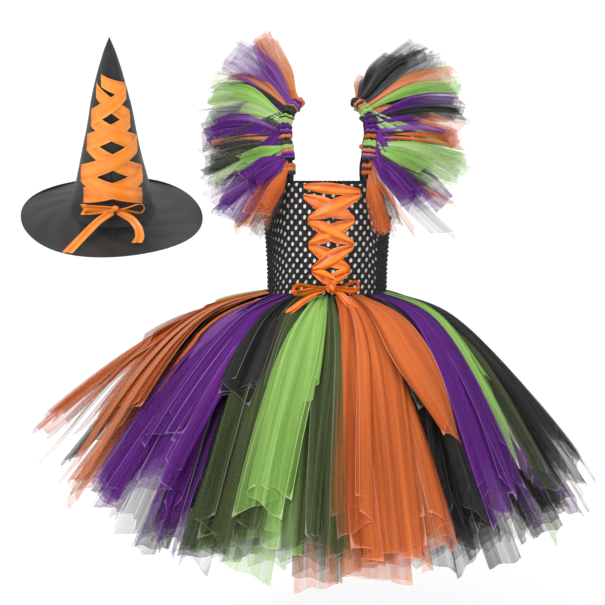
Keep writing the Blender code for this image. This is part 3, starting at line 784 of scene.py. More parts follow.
class Cloth(Enum):
    """The costume's finishes."""

    # Each finish gives the lit colour of its painted fold shading, then its shaded colour; the floor's two colours are
    # tones of its mottle.
    ORANGE = Tulle("orange_net", (0.68, 0.165, 0.040), (0.36, 0.065, 0.014), 0.40, 0.97)
    PEACH = Tulle("peach_net", (0.64, 0.24, 0.11), (0.46, 0.14, 0.06), 0.38, 0.90)
    PURPLE = Tulle("purple_net", (0.155, 0.022, 0.27), (0.045, 0.006, 0.090), 0.44, 0.98)
    LILAC = Tulle("lilac_net", (0.26, 0.10, 0.36), (0.11, 0.03, 0.18), 0.22, 0.90)
    GREEN = Tulle("green_net", (0.33, 0.56, 0.15), (0.15, 0.30, 0.05), 0.40, 0.98)
    PALE = Tulle("pale_green_net", (0.42, 0.58, 0.25), (0.22, 0.34, 0.12), 0.28, 0.92)
    OLIVE = Tulle("olive_net", (0.090, 0.120, 0.045), (0.018, 0.026, 0.010), 0.42, 0.97)
    BLACK = Tulle("black_net", (0.035, 0.033, 0.032), (0.004, 0.004, 0.004), 0.48, 0.98)
    GREY = Tulle("grey_net", (0.085, 0.082, 0.080), (0.020, 0.020, 0.019), 0.24, 0.90)
    RIBBON = Satin("orange_satin_ribbon", (0.86, 0.20, 0.006), (0.36, 0.040, 0.002), 0.30, 420.0, 60.0, 0.0007, 0.5)
    HAT_RIBBON = Satin("light_satin_ribbon", (0.95, 0.31, 0.030), (0.68, 0.145, 0.008), 0.34, 420.0, 30.0, 0.0006, 0.5)
    HAT_SATIN = Satin("black_satin", (0.020, 0.020, 0.021), (0.004, 0.004, 0.004), 0.42, 320.0, 13.0, 0.0050, 0.45)
    CROCHET = Yarn("black_crochet_yarn", (0.030, 0.029, 0.029), (0.003, 0.003, 0.003))
    LINING = Yarn("white_lining", (0.88, 0.87, 0.85), (0.72, 0.71, 0.69))
    FLOOR = Paper("pale_floor", (0.98, 0.98, 0.98), (0.96, 0.96, 0.96))

    def material(self) -> bpy.types.Material:
        """The finish as a material."""
        return self.value.material()


SHEER_OF = {
    "orange": Cloth.PEACH,
    "purple": Cloth.PURPLE,
    "green": Cloth.PALE,
    "olive": Cloth.GREY,
    "black": Cloth.GREY,
    "lilac": Cloth.LILAC,
}
TULLE_OF = {
    "orange": Cloth.ORANGE,
    "purple": Cloth.PURPLE,
    "green": Cloth.GREEN,
    "olive": Cloth.OLIVE,
    "black": Cloth.BLACK,
    "lilac": Cloth.LILAC,
}


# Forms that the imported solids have


@dataclass(frozen=True)
class TubeForm:
    """The dress's tube: an ellipse at each height, its top edge dipping under each arm."""

    waist_z: float = -0.290
    neck_z: float = -0.119
    arm_z: float = -0.172
    neck_half_width: float = 0.058
    heights: tuple[float, ...] = (-0.290, -0.245, -0.205, -0.172, -0.119)
    half_widths: tuple[float, ...] = (0.0890, 0.0895, 0.0920, 0.0945, 0.0920)
    half_depths: tuple[float, ...] = (0.0680, 0.0690, 0.0715, 0.0730, 0.0700)

    def point(self, angle: Array, z: Array, out: Array | float = 0.0) -> Array:
        """Points at angles round from the front towards +X and at heights, out from the middle surface."""
        width = np.interp(z, self.heights, self.half_widths) + out
        depth = np.interp(z, self.heights, self.half_depths) + out
        return np.stack([width * np.sin(angle), -depth * np.cos(angle), z + 0.0 * angle], axis=-1)

    def top(self, angle: Array) -> Array:
        """Height of the top edge: level over the chest, an S-curve down to the arm's height at the side."""
        across = np.abs(np.sin(angle)) * self.half_widths[-1]
        dip = (across - self.neck_half_width) / (self.half_widths[-1] - self.neck_half_width)
        return self.neck_z + (self.arm_z - self.neck_z) * smooth_step(dip)

    def on_front(self, x: Array, z: Array, out: Array | float) -> Array:
        """Points on the front at widths x and heights z: y is where the ellipse has that width."""
        width = np.interp(z, self.heights, self.half_widths) + out
        depth = np.interp(z, self.heights, self.half_depths) + out
        return np.stack([x, -depth * np.sqrt(np.maximum(1.0 - (x / width) ** 2, 0.0)), z], axis=-1)


@dataclass(frozen=True)
class Set:
    """One set of skirt strips: its hem's half sizes and height, and how its root lies."""

    half_width: float
    half_depth: float
    hem_z: float
    root_z: float
    root_out: float


class Layer(Enum):
    """The skirt's three layers."""

    UPPER = Set(0.412, 0.345, -0.590, 0.0045, 0.0018)
    LOWER = Set(0.392, 0.330, -0.612, -0.0014, 0.0)
    UNDER = Set(0.342, 0.286, -0.620, -0.0046, 0.0)


@dataclass(frozen=True)
class Bundle:
    """A skirt strip bundle: its number round from the front, colour, reach and drop."""

    number: int
    colour: str
    reach: float
    drop: float

    @property
    def node(self) -> str:
        """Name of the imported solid."""
        return f"skirt_{self.number:02d}_{self.colour}"

    @property
    def layer(self) -> Layer:
        """Odd bundles are the upper set."""
        return Layer.UPPER if self.number % 2 else Layer.LOWER


BUNDLES = (
    Bundle(0, "olive", 1.00, 1.00),
    Bundle(1, "orange", 1.00, 1.02),
    Bundle(2, "black", 1.00, 1.00),
    Bundle(3, "purple", 0.98, 0.97),
    Bundle(4, "green", 0.98, 0.96),
    Bundle(5, "black", 0.94, 0.84),
    Bundle(6, "orange", 0.96, 0.90),
    Bundle(7, "purple", 0.96, 0.86),
    Bundle(8, "black", 1.00, 0.96),
    Bundle(9, "green", 1.00, 0.98),
    Bundle(10, "black", 1.00, 1.00),
    Bundle(11, "orange", 1.00, 1.01),
    Bundle(12, "black", 1.00, 1.00),
    Bundle(13, "purple", 1.00, 0.98),
    Bundle(14, "green", 1.00, 0.92),
    Bundle(15, "black", 1.00, 0.80),
    Bundle(16, "black", 1.04, 0.84),
    Bundle(17, "orange", 1.06, 0.66),
    Bundle(18, "orange", 1.06, 0.88),
    Bundle(19, "purple", 1.02, 0.88),
    Bundle(20, "black", 1.00, 0.98),
    Bundle(21, "green", 1.00, 1.00),
)


@dataclass(frozen=True)
class SkirtForm:
    """The skirt's dome: quadratic curves from the waist out and down to the hem."""

    tube: TubeForm = field(default_factory=TubeForm)
    slots: int = 22
    fullness: float = 0.42
    droop: float = 0.12

    def envelope(self, angle: Array, layer: Layer) -> tuple[Array, Array]:
        """Reach and drop at an angle, straight between the bundles of that layer.

        Args:
            angle: radians round from the front towards +X.
            layer: which set.

        Returns:
            Reach and drop at each angle; both are 1 on the underskirt.
        """
        if layer is Layer.UNDER:
            return np.ones_like(angle), np.ones_like(angle)
        rows = [bundle for bundle in BUNDLES if bundle.layer is layer]
        degrees = [bundle.number * 360.0 / self.slots for bundle in rows]
        at = np.degrees(angle) % 360.0
        reach = np.interp(at, degrees, [row.reach for row in rows], period=360.0)
        drop = np.interp(at, degrees, [row.drop for row in rows], period=360.0)
        return reach, drop

    def point(self, angle: Array, along: Array, layer: Layer, own: Bundle | None = None) -> Array:
        """Points of a layer: (1-t)^2 root + 2t(1-t) middle + t^2 hem, in half width, half depth and height.

        Args:
            angle: radians round from the front towards +X.
            along: 0 at the waist, 1 at the hem.
            layer: which set.
            own: a bundle whose own reach and drop hold all over, instead of the envelope.

        Returns:
            Points, one for each angle and share.
        """
        size = layer.value
        reach, drop = (own.reach, own.drop) if own else self.envelope(angle, layer)
        root_width = self.tube.half_widths[0] + size.root_out
        root_depth = self.tube.half_depths[0] + size.root_out
        root_z = self.tube.waist_z + size.root_z
        hem_width, hem_depth = size.half_width * reach, size.half_depth * reach
        hem_z = root_z + (size.hem_z - root_z) * drop
        first, middle, last = (1.0 - along) ** 2, 2.0 * along * (1.0 - along), along**2
        width = first * root_width + middle * (root_width + self.fullness * (hem_width - root_width)) + last * hem_width
        depth = first * root_depth + middle * (root_depth + self.fullness * (hem_depth - root_depth)) + last * hem_depth
        z = first * root_z + middle * (root_z + self.droop * (hem_z - root_z)) + last * hem_z
        return np.stack([width * np.sin(angle), -depth * np.cos(angle), z + 0.0 * angle], axis=-1)

    def line(self, angle: Array, along: Array, layer: Layer, own: Bundle | None = None) -> Line:
        """The layer's points with the unit vectors round it and outwards, by differences of 0.001."""
        points = self.point(angle, along, layer, own)
        side = unit(self.point(angle + 0.001, along, layer, own) - self.point(angle - 0.001, along, layer, own))
        down = unit(self.point(angle, along + 0.001, layer, own) - self.point(angle, along - 0.001, layer, own))
        return Line(points, side, np.cross(down, side))


@dataclass(frozen=True)
class StrapForm:
    """A shoulder strap: an arch from the front neck edge over the shoulder to the back."""

    neck_z: float = -0.1187
    foot_x: float = 0.0565
    top_x: float = 0.0430
    bulge: float = 0.0110
    half_depth: float = 0.0552
    width: float = 0.0110
    thick: float = 0.0070

    def line(self, share: Array, side: int) -> Array:
        """The centreline: y follows a half cosine, z rises as the sine to the power 0.8."""
        turn = math.pi * np.asarray(share, float)
        lift = np.maximum(np.sin(turn), 0.0)
        x = self.foot_x + (self.top_x - self.foot_x) * lift**2 + self.bulge * np.sin(2.0 * turn) ** 2
        y = -self.half_depth * np.cos(turn)
        z = self.neck_z + (-self.thick / 2 - self.neck_z) * lift**0.8
        return np.stack([side * x, y, z], axis=-1)

    def frame(self, share: Array, side: int) -> tuple[Array, Array, Array]:
        """Unit vectors along the strap, across it and out of its face."""
        share = np.clip(share, 0.002, 0.998)
        along = unit(self.line(share + 0.001, side) - self.line(share - 0.001, side))
        wide = unit(np.array([1.0, 0.0, 0.0]) - along[..., :1] * along)
        return along, wide, np.cross(along, wide)


@dataclass(frozen=True)
class HatForm:
    """The hat: a cone on a ring brim, in its own frame, then tipped, turned and placed."""

    centre: Colour = (-0.422, 0.541, -0.185)
    tilt: float = math.radians(24.9)
    yaw: float = math.radians(10.7)
    heights: tuple[float, ...] = (0.0120, 0.0230, 0.0760, 0.1200, 0.1770, 0.2330, 0.2700, 0.3050, 0.3400, 0.3650)
    radii: tuple[float, ...] = (0.0840, 0.0795, 0.0708, 0.0612, 0.0492, 0.0390, 0.0302, 0.0209, 0.0105, 0.0003)
    brim_radius: float = 0.180
    brim_rise: float = 0.012
    wall: float = 0.0016

    def matrix(self) -> Array:
        """Rotation: tipped towards the front, then turned."""
        return np.array(Matrix.Rotation(self.yaw, 3, "Z") @ Matrix.Rotation(self.tilt, 3, "X"))

    def to_row(self, points: Array) -> Array:
        """Points of the hat's frame in the row frame."""
        return np.asarray(points) @ self.matrix().T + np.array(self.centre)

    def crown(self, angle: Array, height: Array, out: Array | float = 0.0) -> Array:
        """Points on the crown at angles from the front and heights, in the hat's frame."""
        radius = np.interp(height, self.heights, self.radii) + out
        return np.stack([radius * np.sin(angle), -radius * np.cos(angle), height + 0.0 * angle], axis=-1)

    def brim(self, angle: Array, share: Array) -> Array:
        """Points on the brim from the crown (0) to the rim (1), in the hat's frame."""
        inner = self.radii[0] + self.wall / 2 + 0.0005
        radius = inner + (self.brim_radius - inner) * share
        z = self.brim_rise * np.maximum(1.0 - share, 0.0) ** 1.3 + 0.0035 * np.sin(3.0 * angle + 0.6) * share
        return np.stack([radius * np.sin(angle), -radius * np.cos(angle), z], axis=-1)


# Pieces


class Held(Enum):
    """How a sheet is held."""

    DRAPED = "draped"
    HUNG = "hung"
    GATHERED = "gathered"
    LAID = "laid"
    FOLDED = "folded"
    STRETCHED = "stretched"


@dataclass(frozen=True)
class Cut:
    """A sheet's cut: width and length in metres, how it is held, on what, and its area where it isn't a rectangle."""

    width: float
    length: float
    held: Held
    rests_on: tuple[str, ...] = ()
    area: float | None = None


def take_up(piece: bpy.types.Object, nodes: Sequence[str], cut: Cut | None) -> None:
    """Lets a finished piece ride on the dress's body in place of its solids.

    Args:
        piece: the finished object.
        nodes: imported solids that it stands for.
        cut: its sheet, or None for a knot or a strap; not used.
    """
    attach(piece, BODY)
    if nodes:
        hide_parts(*nodes)
    if cut:
        list(cut.rests_on)
    LOG.info("%s: %d faces", piece.name, len(piece.data.polygons))


@dataclass
class CrochetTube:
    """The stretch tube: a net of crocheted stitches with a plain side on each flank, over a white lining."""

    form: TubeForm = field(default_factory=TubeForm)
    columns: int = 42
    rows: int = 22
    hole_width: float = 0.0042
    hole_height: float = 0.0064
    yarn: float = 0.0007

    def closed(self, angle: Array, share: Array) -> Array:
        """1 where the flank's stitches are worked close and the holes shut, 0 on the open net."""
        degrees = np.degrees(np.arctan2(np.sin(angle), np.cos(angle)))
        right = smooth_step((degrees - 50.0) / 8.0) * smooth_step((128.0 - degrees) / 8.0)
        start = 74.0 - 16.0 * smooth_step((share - 0.45) / 0.4)
        left = smooth_step((-degrees - start) / 10.0) * smooth_step((128.0 + degrees) / 8.0)
        return np.maximum(right, left)

    def net(self) -> bpy.types.Object:
        """Staggered cells, each a ring of stitches round an oval hole that leans more towards the waist.

        A cell's outer loop is a brick of 12 points shared with its neighbours, its hole an ellipse of 12 points, and
        the yarn rises halfway between them.
        """
        column, row = np.meshgrid(np.arange(self.columns), np.arange(self.rows), indexing="ij")
        column, row = column.ravel()[:, None], row.ravel()[:, None]
        upper_half = [(2, -2), (2, 0), (2, 2), (1, 2), (0, 2), (-1, 2)]
        lower_half = [(-2, 2), (-2, 0), (-2, -2), (-1, -2), (0, -2), (1, -2)]
        brick = np.array(upper_half + lower_half) / 4.0
        turn = np.arctan2(brick[:, 1], brick[:, 0])[None, :]
        centre_a, centre_b = column + 0.5 * (row % 2), row + 0.5
        share = centre_b / self.rows
        angle_step = 2.0 * math.pi / self.columns
        shut = self.closed(centre_a * angle_step, share)
        pitch_x, pitch_z = 0.507 / self.columns, (self.form.neck_z - self.form.waist_z) / self.rows
        open_share = 1.0 - 0.93 * shut
        lean = np.radians(27.0) * (1.0 - share) ** 1.5 + np.radians(6.0) * np.sin(3.1 * column + 1.7 * row)
        x = self.hole_width / 2 * open_share * np.cos(turn)
        z = self.hole_height / 2 * open_share * np.sin(turn)
        hole_a = (x * np.cos(lean) + z * np.sin(lean)) / pitch_x
        hole_b = (z * np.cos(lean) - x * np.sin(lean)) / pitch_z
        outer_a, outer_b = brick[None, :, 0], brick[None, :, 1]
        rings = []
        for mix, out in ((1.0, -0.0003), (0.72, self.yarn * 0.8), (0.28, self.yarn), (0.0, -0.0006)):
            a = centre_a + mix * outer_a + (1.0 - mix) * hole_a
            b = centre_b + mix * outer_b + (1.0 - mix) * hole_b
            angle = a * angle_step
            height = b / self.rows
            z_at = self.form.waist_z + (self.form.top(angle) - self.form.waist_z) * height
            rib = 0.0009 * shut * np.sin(2.0 * math.pi * z_at / 0.0066)
            rings.append(self.form.point(angle, z_at, out + rib))
        points = np.stack(rings, axis=2)
        cells = points.shape[0]
        count = points.shape[1] * points.shape[2]
        index = np.arange(count).reshape(points.shape[1], points.shape[2])
        loop = np.concatenate([index, index[:1]])
        quads = np.stack([loop[:-1, :-1], loop[1:, :-1], loop[1:, 1:], loop[:-1, 1:]], axis=-1).reshape(-1, 4)
        faces = (quads[None] + (np.arange(cells) * count)[:, None, None]).reshape(-1, 4)
        mesh = bpy.data.meshes.new("crochet_net")
        mesh.from_pydata(points.reshape(-1, 3).tolist(), [], faces.tolist())
        # Painted light and shade: the raised yarn is painted lit, the hole's rim and the seams between cells painted
        # shaded.
        ridge = np.tile(np.array([0.15, 0.8, 0.9, 0.2])[None, None, :], (cells, 12, 1))
        mesh.attributes.new("ridge", "FLOAT", "POINT").data.foreach_set("value", ridge.astype(np.float32).ravel())
        work = bmesh.new()
        work.from_mesh(mesh)
        bmesh.ops.remove_doubles(work, verts=work.verts, dist=2e-5)
        work.to_mesh(mesh)
        work.free()
        mesh.shade_smooth()
        mesh.materials.append(Cloth.CROCHET.material())
        piece = bpy.data.objects.new("crochet_net", mesh)
        bpy.context.collection.objects.link(piece)
        return piece

    def edge_rolls(self) -> bpy.types.Object:
        """The worked edges: a roll of yarn round the neck and arms, and one round the waist."""
        turn = np.linspace(0.0, 2.0 * math.pi, 241)
        top = self.form.point(turn, self.form.top(turn) - 0.0006, 0.0003)
        waist = self.form.point(turn, np.full_like(turn, self.form.waist_z + 0.0016), 0.0004)
        bead = 0.0017 + 0.00035 * np.sin(turn * 84.0)
        patches = [tube_patch(top, bead, 8), tube_patch(waist, bead, 8)]
        # Painted light and shade: each bead of the roll is painted lit, the dips between beads shaded.
        for patch in patches:
            patch.ridge = 0.4 + 0.4 * np.sin(84.0 * np.linspace(0.0, 2.0 * math.pi, patch.points.shape[1]))[None, :] * np.ones((8, 1))
        return mesh_piece("crochet_edges", patches, [Cloth.CROCHET.material()])

    def lining(self) -> bpy.types.Object:
        """The white tube behind the net, a little below its top edge."""
        angle = np.linspace(0.0, 2.0 * math.pi, 97)[:-1][:, None]
        share = np.linspace(0.0, 1.0, 20)[None, :]
        top = self.form.top(angle) - 0.004
        z = self.form.waist_z + (top - self.form.waist_z) * share
        wave = 0.0002 * np.sin(9.0 * angle + 14.0 * share)
        points = self.form.point(angle + 0.0 * share, z, -0.0018 + wave)
        patch = patch_from(points, 0.50, 0.165, round_it=True, ridge=0.6 + 0.0 * z)
        return mesh_piece("tube_lining", [patch], [Cloth.LINING.material()])

    def build(self) -> None:
        """Net, edges and lining."""
        net, edges, lining = self.net(), self.edge_rolls(), self.lining()
        take_up(lining, ["lining"], Cut(0.50, 0.165, Held.STRETCHED, ("root",), 0.076))
        take_up(edges, [], None)
        take_up(net, ["crochet_tube"], Cut(0.507, 0.171, Held.STRETCHED, ("tube_lining",), 0.060))


SECOND_CLOTH = {
    0: Cloth.OLIVE,
    1: Cloth.PEACH,
    3: Cloth.BLACK,
    4: Cloth.BLACK,
    5: Cloth.GREY,
    6: Cloth.GREY,
    7: Cloth.GREY,
    8: Cloth.GREY,
    10: Cloth.GREY,
    12: Cloth.GREY,
    14: Cloth.BLACK,
    15: Cloth.GREY,
    16: Cloth.GREY,
    17: Cloth.PEACH,
    18: Cloth.PEACH,
    20: Cloth.GREY,
    21: Cloth.OLIVE,
}


@dataclass(frozen=True)
class Tail:
    """One loose tail of the skirt.

    Attributes:
        bundle: number of the bundle that it belongs to.
        cloth: its finish.
        layer: the set on which it lies.
        root: degrees round the waist where it starts.
        tip: degrees round the hem where it ends.
        share: how far down the skirt it reaches, 1 at the hem.
        half: half its width near the tip, in metres.
        lift: how far it stands off the layer, in metres.
        slant: how much longer one side of its cut end is, as a share of its length.
        layers: sheets that lie together in it.
        folds: long folds across it.
        twist: degrees by which it is turned about its length.
        turned: how much of its half width is folded back.
        taper: how much it narrows to a rounded tip.
    """

    bundle: int
    cloth: Cloth
    layer: Layer
    root: float
    tip: float
    share: float
    half: float
    lift: float = 0.008
    slant: float = 0.06
    layers: int = 2
    folds: float = 1.4
    twist: float = 0.0
    turned: float = 0.35
    taper: float = 0.0


FRONT_TAILS = (
    Tail(17, Cloth.PEACH, Layer.UPPER, -96, -74, 0.96, 0.028, 0.002, 0.10, 2, 1.0, 34, 0.2),
    Tail(17, Cloth.PEACH, Layer.UPPER, -98, -69, 1.03, 0.018, 0.003, 0.22, 2, 1.0, 30, 0.3),
    Tail(17, Cloth.ORANGE, Layer.UPPER, -90, -64, 0.92, 0.024, 0.008, -0.16, 2, 1.2, 24, 0.3),
    Tail(17, Cloth.ORANGE, Layer.UPPER, -84, -57, 0.82, 0.026, 0.012, -0.12, 2, 1.2, 18, 0.5),
    Tail(17, Cloth.PEACH, Layer.UPPER, -86, -60, 1.00, 0.028, 0.008, -0.22, 2, 1.4, 18, 0.3),
    Tail(17, Cloth.PEACH, Layer.UPPER, -82, -56, 0.97, 0.026, 0.009, -0.18, 2, 1.4, 12, 0.3),
    Tail(18, Cloth.ORANGE, Layer.LOWER, -76, -52, 0.97, 0.022, 0.010, 0.22, 2, 1.4, 14),
    Tail(18, Cloth.ORANGE, Layer.LOWER, -70, -49, 0.93, 0.022, 0.012, -0.12, 1, 1.4, 10),
    Tail(18, Cloth.LILAC, Layer.LOWER, -62, -45, 0.92, 0.026, 0.016, -0.12, 2, 1.4, 6),
    Tail(18, Cloth.BLACK, Layer.LOWER, -72, -54, 0.90, 0.0022, 0.020, 0.0, 1, 1.0, 0, 0.0),
    Tail(19, Cloth.PURPLE, Layer.UPPER, -38, -41, 0.81, 0.030, 0.020, -0.10, 3, 2.6),
    Tail(19, Cloth.PURPLE, Layer.UPPER, -37, -37, 0.91, 0.028, 0.014, 0.06, 3, 2.6),
    Tail(19, Cloth.PURPLE, Layer.LOWER, -40, -37, 0.97, 0.014, 0.014, 0.08, 2),
    Tail(19, Cloth.PURPLE, Layer.LOWER, -41, -32, 0.98, 0.013, 0.014, 0.10, 2),
    Tail(19, Cloth.LILAC, Layer.LOWER, -38, -27, 0.99, 0.012, 0.012, 0.14, 2),
    Tail(15, Cloth.PALE, Layer.UPPER, -120, -110, 0.30, 0.016, 0.016, 0.10, 2),
    Tail(15, Cloth.BLACK, Layer.UPPER, -110, -100, 0.55, 0.010, 0.010, 0.10, 2),
    Tail(20, Cloth.BLACK, Layer.UPPER, -31, -27, 0.62, 0.024, 0.016, 0.10, 3),
    Tail(20, Cloth.BLACK, Layer.LOWER, -33, -27, 0.92, 0.032, 0.016, 0.10, 3, 3.0),
    Tail(20, Cloth.BLACK, Layer.LOWER, -34, -36, 0.98, 0.012, 0.010, 0.10, 2),
    Tail(20, Cloth.GREY, Layer.LOWER, -29, -27, 1.00, 0.028, 0.008, 0.06, 2),
    Tail(21, Cloth.OLIVE, Layer.UPPER, -24, -21, 0.96, 0.034, 0.010, 0.05, 3, 3.4),
    Tail(21, Cloth.OLIVE, Layer.UPPER, -20, -17, 0.98, 0.030, 0.010, -0.05, 2, 3.0),
    Tail(21, Cloth.GREEN, Layer.LOWER, -17, -16, 1.00, 0.034, 0.006, 0.05, 1),
    Tail(21, Cloth.GREEN, Layer.UPPER, -7, -13, 0.90, 0.027, 0.024, 0.06, 3, 2.2),
    Tail(21, Cloth.GREEN, Layer.UPPER, -3, -8, 0.62, 0.016, 0.020, 0.10, 2),
    Tail(21, Cloth.GREEN, Layer.LOWER, -12, -12, 0.97, 0.026, 0.012, 0.03, 1),
    Tail(0, Cloth.OLIVE, Layer.UPPER, -2, -6, 0.96, 0.024, 0.012, 0.04, 2, 3.0),
    Tail(0, Cloth.OLIVE, Layer.UPPER, 1, -2, 0.97, 0.020, 0.014, -0.04, 2, 2.0),
    Tail(0, Cloth.PEACH, Layer.LOWER, 0, -3, 1.01, 0.026, 0.004, 0.03, 1),
    Tail(1, Cloth.ORANGE, Layer.UPPER, 17, 9.5, 0.97, 0.044, 0.012, -0.03, 3, 4.2),
    Tail(1, Cloth.ORANGE, Layer.UPPER, 12, 4, 0.93, 0.022, 0.016, 0.05, 2),
    Tail(1, Cloth.PEACH, Layer.LOWER, 20, 8, 1.00, 0.044, 0.008, 0.03, 2, 4.0),
    Tail(1, Cloth.ORANGE, Layer.UPPER, 26, 28.5, 0.75, 0.032, 0.028, 0.10, 2, 1.0, 0, 0.25, 0.95),
    Tail(2, Cloth.BLACK, Layer.LOWER, 42, 18.5, 0.99, 0.034, 0.010, 0.05, 3, 3.4),
    Tail(2, Cloth.BLACK, Layer.LOWER, 46, 25.5, 1.00, 0.020, 0.010, 0.08, 2),
    Tail(2, Cloth.BLACK, Layer.UPPER, 40, 30, 0.62, 0.030, 0.010, 0.05, 3),
    Tail(3, Cloth.PURPLE, Layer.UPPER, 55, 34, 0.95, 0.026, 0.018, 0.10, 3, 2.6),
    Tail(3, Cloth.PURPLE, Layer.UPPER, 56, 40, 0.90, 0.014, 0.020, 0.12, 2),
    Tail(3, Cloth.LILAC, Layer.UPPER, 60, 48, 0.93, 0.016, 0.010, 0.10, 2),
    Tail(3, Cloth.BLACK, Layer.UPPER, 44, 29, 0.96, 0.018, 0.012, 0.10, 2),
    Tail(4, Cloth.GREEN, Layer.UPPER, 72, 52, 0.60, 0.011, 0.020, 0.30, 2),
    Tail(4, Cloth.GREEN, Layer.UPPER, 66, 45, 0.84, 0.012, 0.022, 0.30, 2),
    Tail(4, Cloth.OLIVE, Layer.UPPER, 70, 50, 0.93, 0.026, 0.010, 0.08, 3),
    Tail(4, Cloth.GREEN, Layer.LOWER, 70, 54, 1.00, 0.024, 0.006, 0.06, 1),
    Tail(5, Cloth.BLACK, Layer.UPPER, 80, 62, 0.98, 0.022, 0.014, 0.10, 3),
    Tail(5, Cloth.BLACK, Layer.UPPER, 84, 72, 0.90, 0.018, 0.012, 0.10, 2),
    Tail(5, Cloth.BLACK, Layer.LOWER, 66, 43, 0.97, 0.020, 0.008, 0.08, 2),
    Tail(5, Cloth.GREY, Layer.UPPER, 92, 80, 1.02, 0.026, 0.006, 0.06, 1),
    Tail(6, Cloth.GREY, Layer.LOWER, 92, 80, 1.02, 0.026, 0.008, 0.06, 1),
    Tail(6, Cloth.PEACH, Layer.LOWER, 96, 86, 0.90, 0.018, 0.016, 0.10, 2),
)


@dataclass
class Skirt:
    """The tulle skirt: bundles of strips round the waist, loose tails over them, and a net underskirt."""

    form: SkirtForm = field(default_factory=SkirtForm)
    slots: int = 22
    upper_share: float = 0.80
    lower_share: float = 0.93
    strips: int = 3
    strip_length: float = 0.38

    def base(self, bundle: Bundle) -> list[Patch]:
        """The bundle's own strips side by side on its panel, each with its own folds and cut end."""
        share = self.upper_share if bundle.layer is Layer.UPPER else self.lower_share
        patches = []
        for number in range(2 * self.strips):
            rng = np.random.default_rng(100 + 10 * bundle.number + number)
            place = ((number % self.strips) + 0.5) / self.strips * 2.0 - 1.0
            spot = bundle.number + share * 0.5 * place * 0.9
            hang = Hang(
                half=0.027 * rng.uniform(0.85, 1.25),
                slant=rng.uniform(-0.10, 0.10),
                turned=rng.uniform(0.1, 0.6),
                folds=rng.uniform(1.2, 2.6),
                depth=0.0036,
                twist=rng.uniform(-10.0, 10.0),
                root=0.34,
            )
            u, along = strip_ends(hang, 17, 27, rng)
            along = along * rng.uniform(0.92, 1.0)
            lean = rng.uniform(-0.25, 0.25)
            angle = (spot + lean * along) * 2.0 * math.pi / self.slots
            line = self.form.line(angle, along, bundle.layer, bundle)
            lift = 0.0015 + rng.uniform(-0.004, 0.005) * along
            patches.append(strip_patch(line, hang, u, along, lift, rng, 0.85))
        return patches

    def tail(self, tail: Tail, seed: int) -> list[Patch]:
        """A tail's sheets, on the layer's surface at an angle that eases from its root to its tip."""
        patches = []
        for sheet in range(tail.layers):
            rng = np.random.default_rng(seed * 7 + sheet)
            hang = Hang(
                half=tail.half * rng.uniform(0.88, 1.08),
                slant=tail.slant,
                turned=min(0.9, tail.turned * rng.uniform(0.6, 1.3)),
                folds=tail.folds,
                depth=0.0034 * min(1.0, tail.half / 0.02),
                twist=tail.twist + (rng.uniform(-6.0, 6.0) if sheet else 0.0),
                taper=tail.taper,
            )
            u, along = strip_ends(hang, 23, 33, rng)
            along = along * tail.share * (1.0 if sheet == 0 else rng.uniform(0.93, 1.0))
            ease = smooth_step(along / tail.share * 0.95) ** 0.75
            jitter = rng.uniform(-1.6, 1.6) if sheet else 0.0
            angle = np.radians(tail.root + (tail.tip - tail.root + jitter) * ease)
            line = self.form.line(angle, along, tail.layer)
            lift = tail.lift * (0.15 + 0.85 * smooth_step(along / 0.35)) - 0.0024 * sheet
            patches.append(strip_patch(line, hang, u, along, lift, rng, 0.80))
        return patches

    def underskirt(self) -> bpy.types.Object:
        """Two rings of dark net inside the bundles, with a hem of short straight cuts at uneven heights.

        The hem's share of the length is a sum of three sawtooth waves round the ring.
        """
        patches = []
        for sheet in range(2):
            angle = np.linspace(0.0, 2.0 * math.pi, 481)[:-1][:, None]
            v = np.linspace(0.0, 1.0, 24)[None, :]
            ragged = 1.0 - 0.0 * angle
            for teeth, size in ((13.0, 0.035), (19.0, 0.025), (31.0, 0.015)):
                ragged = ragged - size * ((teeth * angle / (2.0 * math.pi) + 0.37 * sheet) % 1.0)
            points = self.form.point(angle + 0.0 * v, v * ragged, Layer.UNDER)
            waves = np.cos(20.0 * angle) + 0.4 * np.sin(33.0 * angle + 2.0 * v + sheet)
            normal = grid_normals(points, round_it=True)
            points = points + normal * ((0.0004 + 0.0060 * v**0.8) * waves + 0.004 * sheet * v)[:, :, None]
            veil = 1.0 - 0.9 * smooth_step((v - 0.45) / 0.55) + 0.0 * angle
            edge = 1.0 - (1.0 - v) * 17.0 + 0.0 * angle
            # Painted light and shade: the crests of the waves are painted lit, their troughs shaded.
            patches.append(patch_from(points, 2.6, 0.34, veil=veil, ridge=0.5 + 0.35 * waves, edge=np.clip(edge, 0.0, 1.0), round_it=True))
        return mesh_piece("underskirt_net", patches, [Cloth.GREY.material()])

    def build(self) -> None:
        """Every bundle with its tails, then the underskirt."""
        for bundle in BUNDLES:
            finishes = [TULLE_OF[bundle.colour], SECOND_CLOTH.get(bundle.number, TULLE_OF[bundle.colour])]
            patches = self.base(bundle)
            for number, patch in enumerate(patches):
                patch.finish = number % 2
            tails = [(number, tail) for number, tail in enumerate(FRONT_TAILS) if tail.bundle == bundle.number]
            for number, tail in tails:
                if tail.cloth not in finishes:
                    finishes.append(tail.cloth)
                for patch in self.tail(tail, number):
                    patch.finish = finishes.index(tail.cloth)
                    patches.append(patch)
            piece = mesh_piece(f"tulle_{bundle.number:02d}_{bundle.colour}", patches, [f.material() for f in finishes])
            cut = Cut(summed_width(patches, self.strip_length), self.strip_length, Held.GATHERED, ("crochet_net",))
            take_up(piece, [bundle.node], cut)
        take_up(self.underskirt(), ["underskirt"], Cut(2.6, 0.38, Held.GATHERED, ("crochet_net",)))


@dataclass(frozen=True)
class Wing:
    """A ruffle strip's solid: its name, colour, root on the strap, and the ends of its outer edge."""

    name: str
    colour: str
    root: float
    low: Colour
    high: Colour


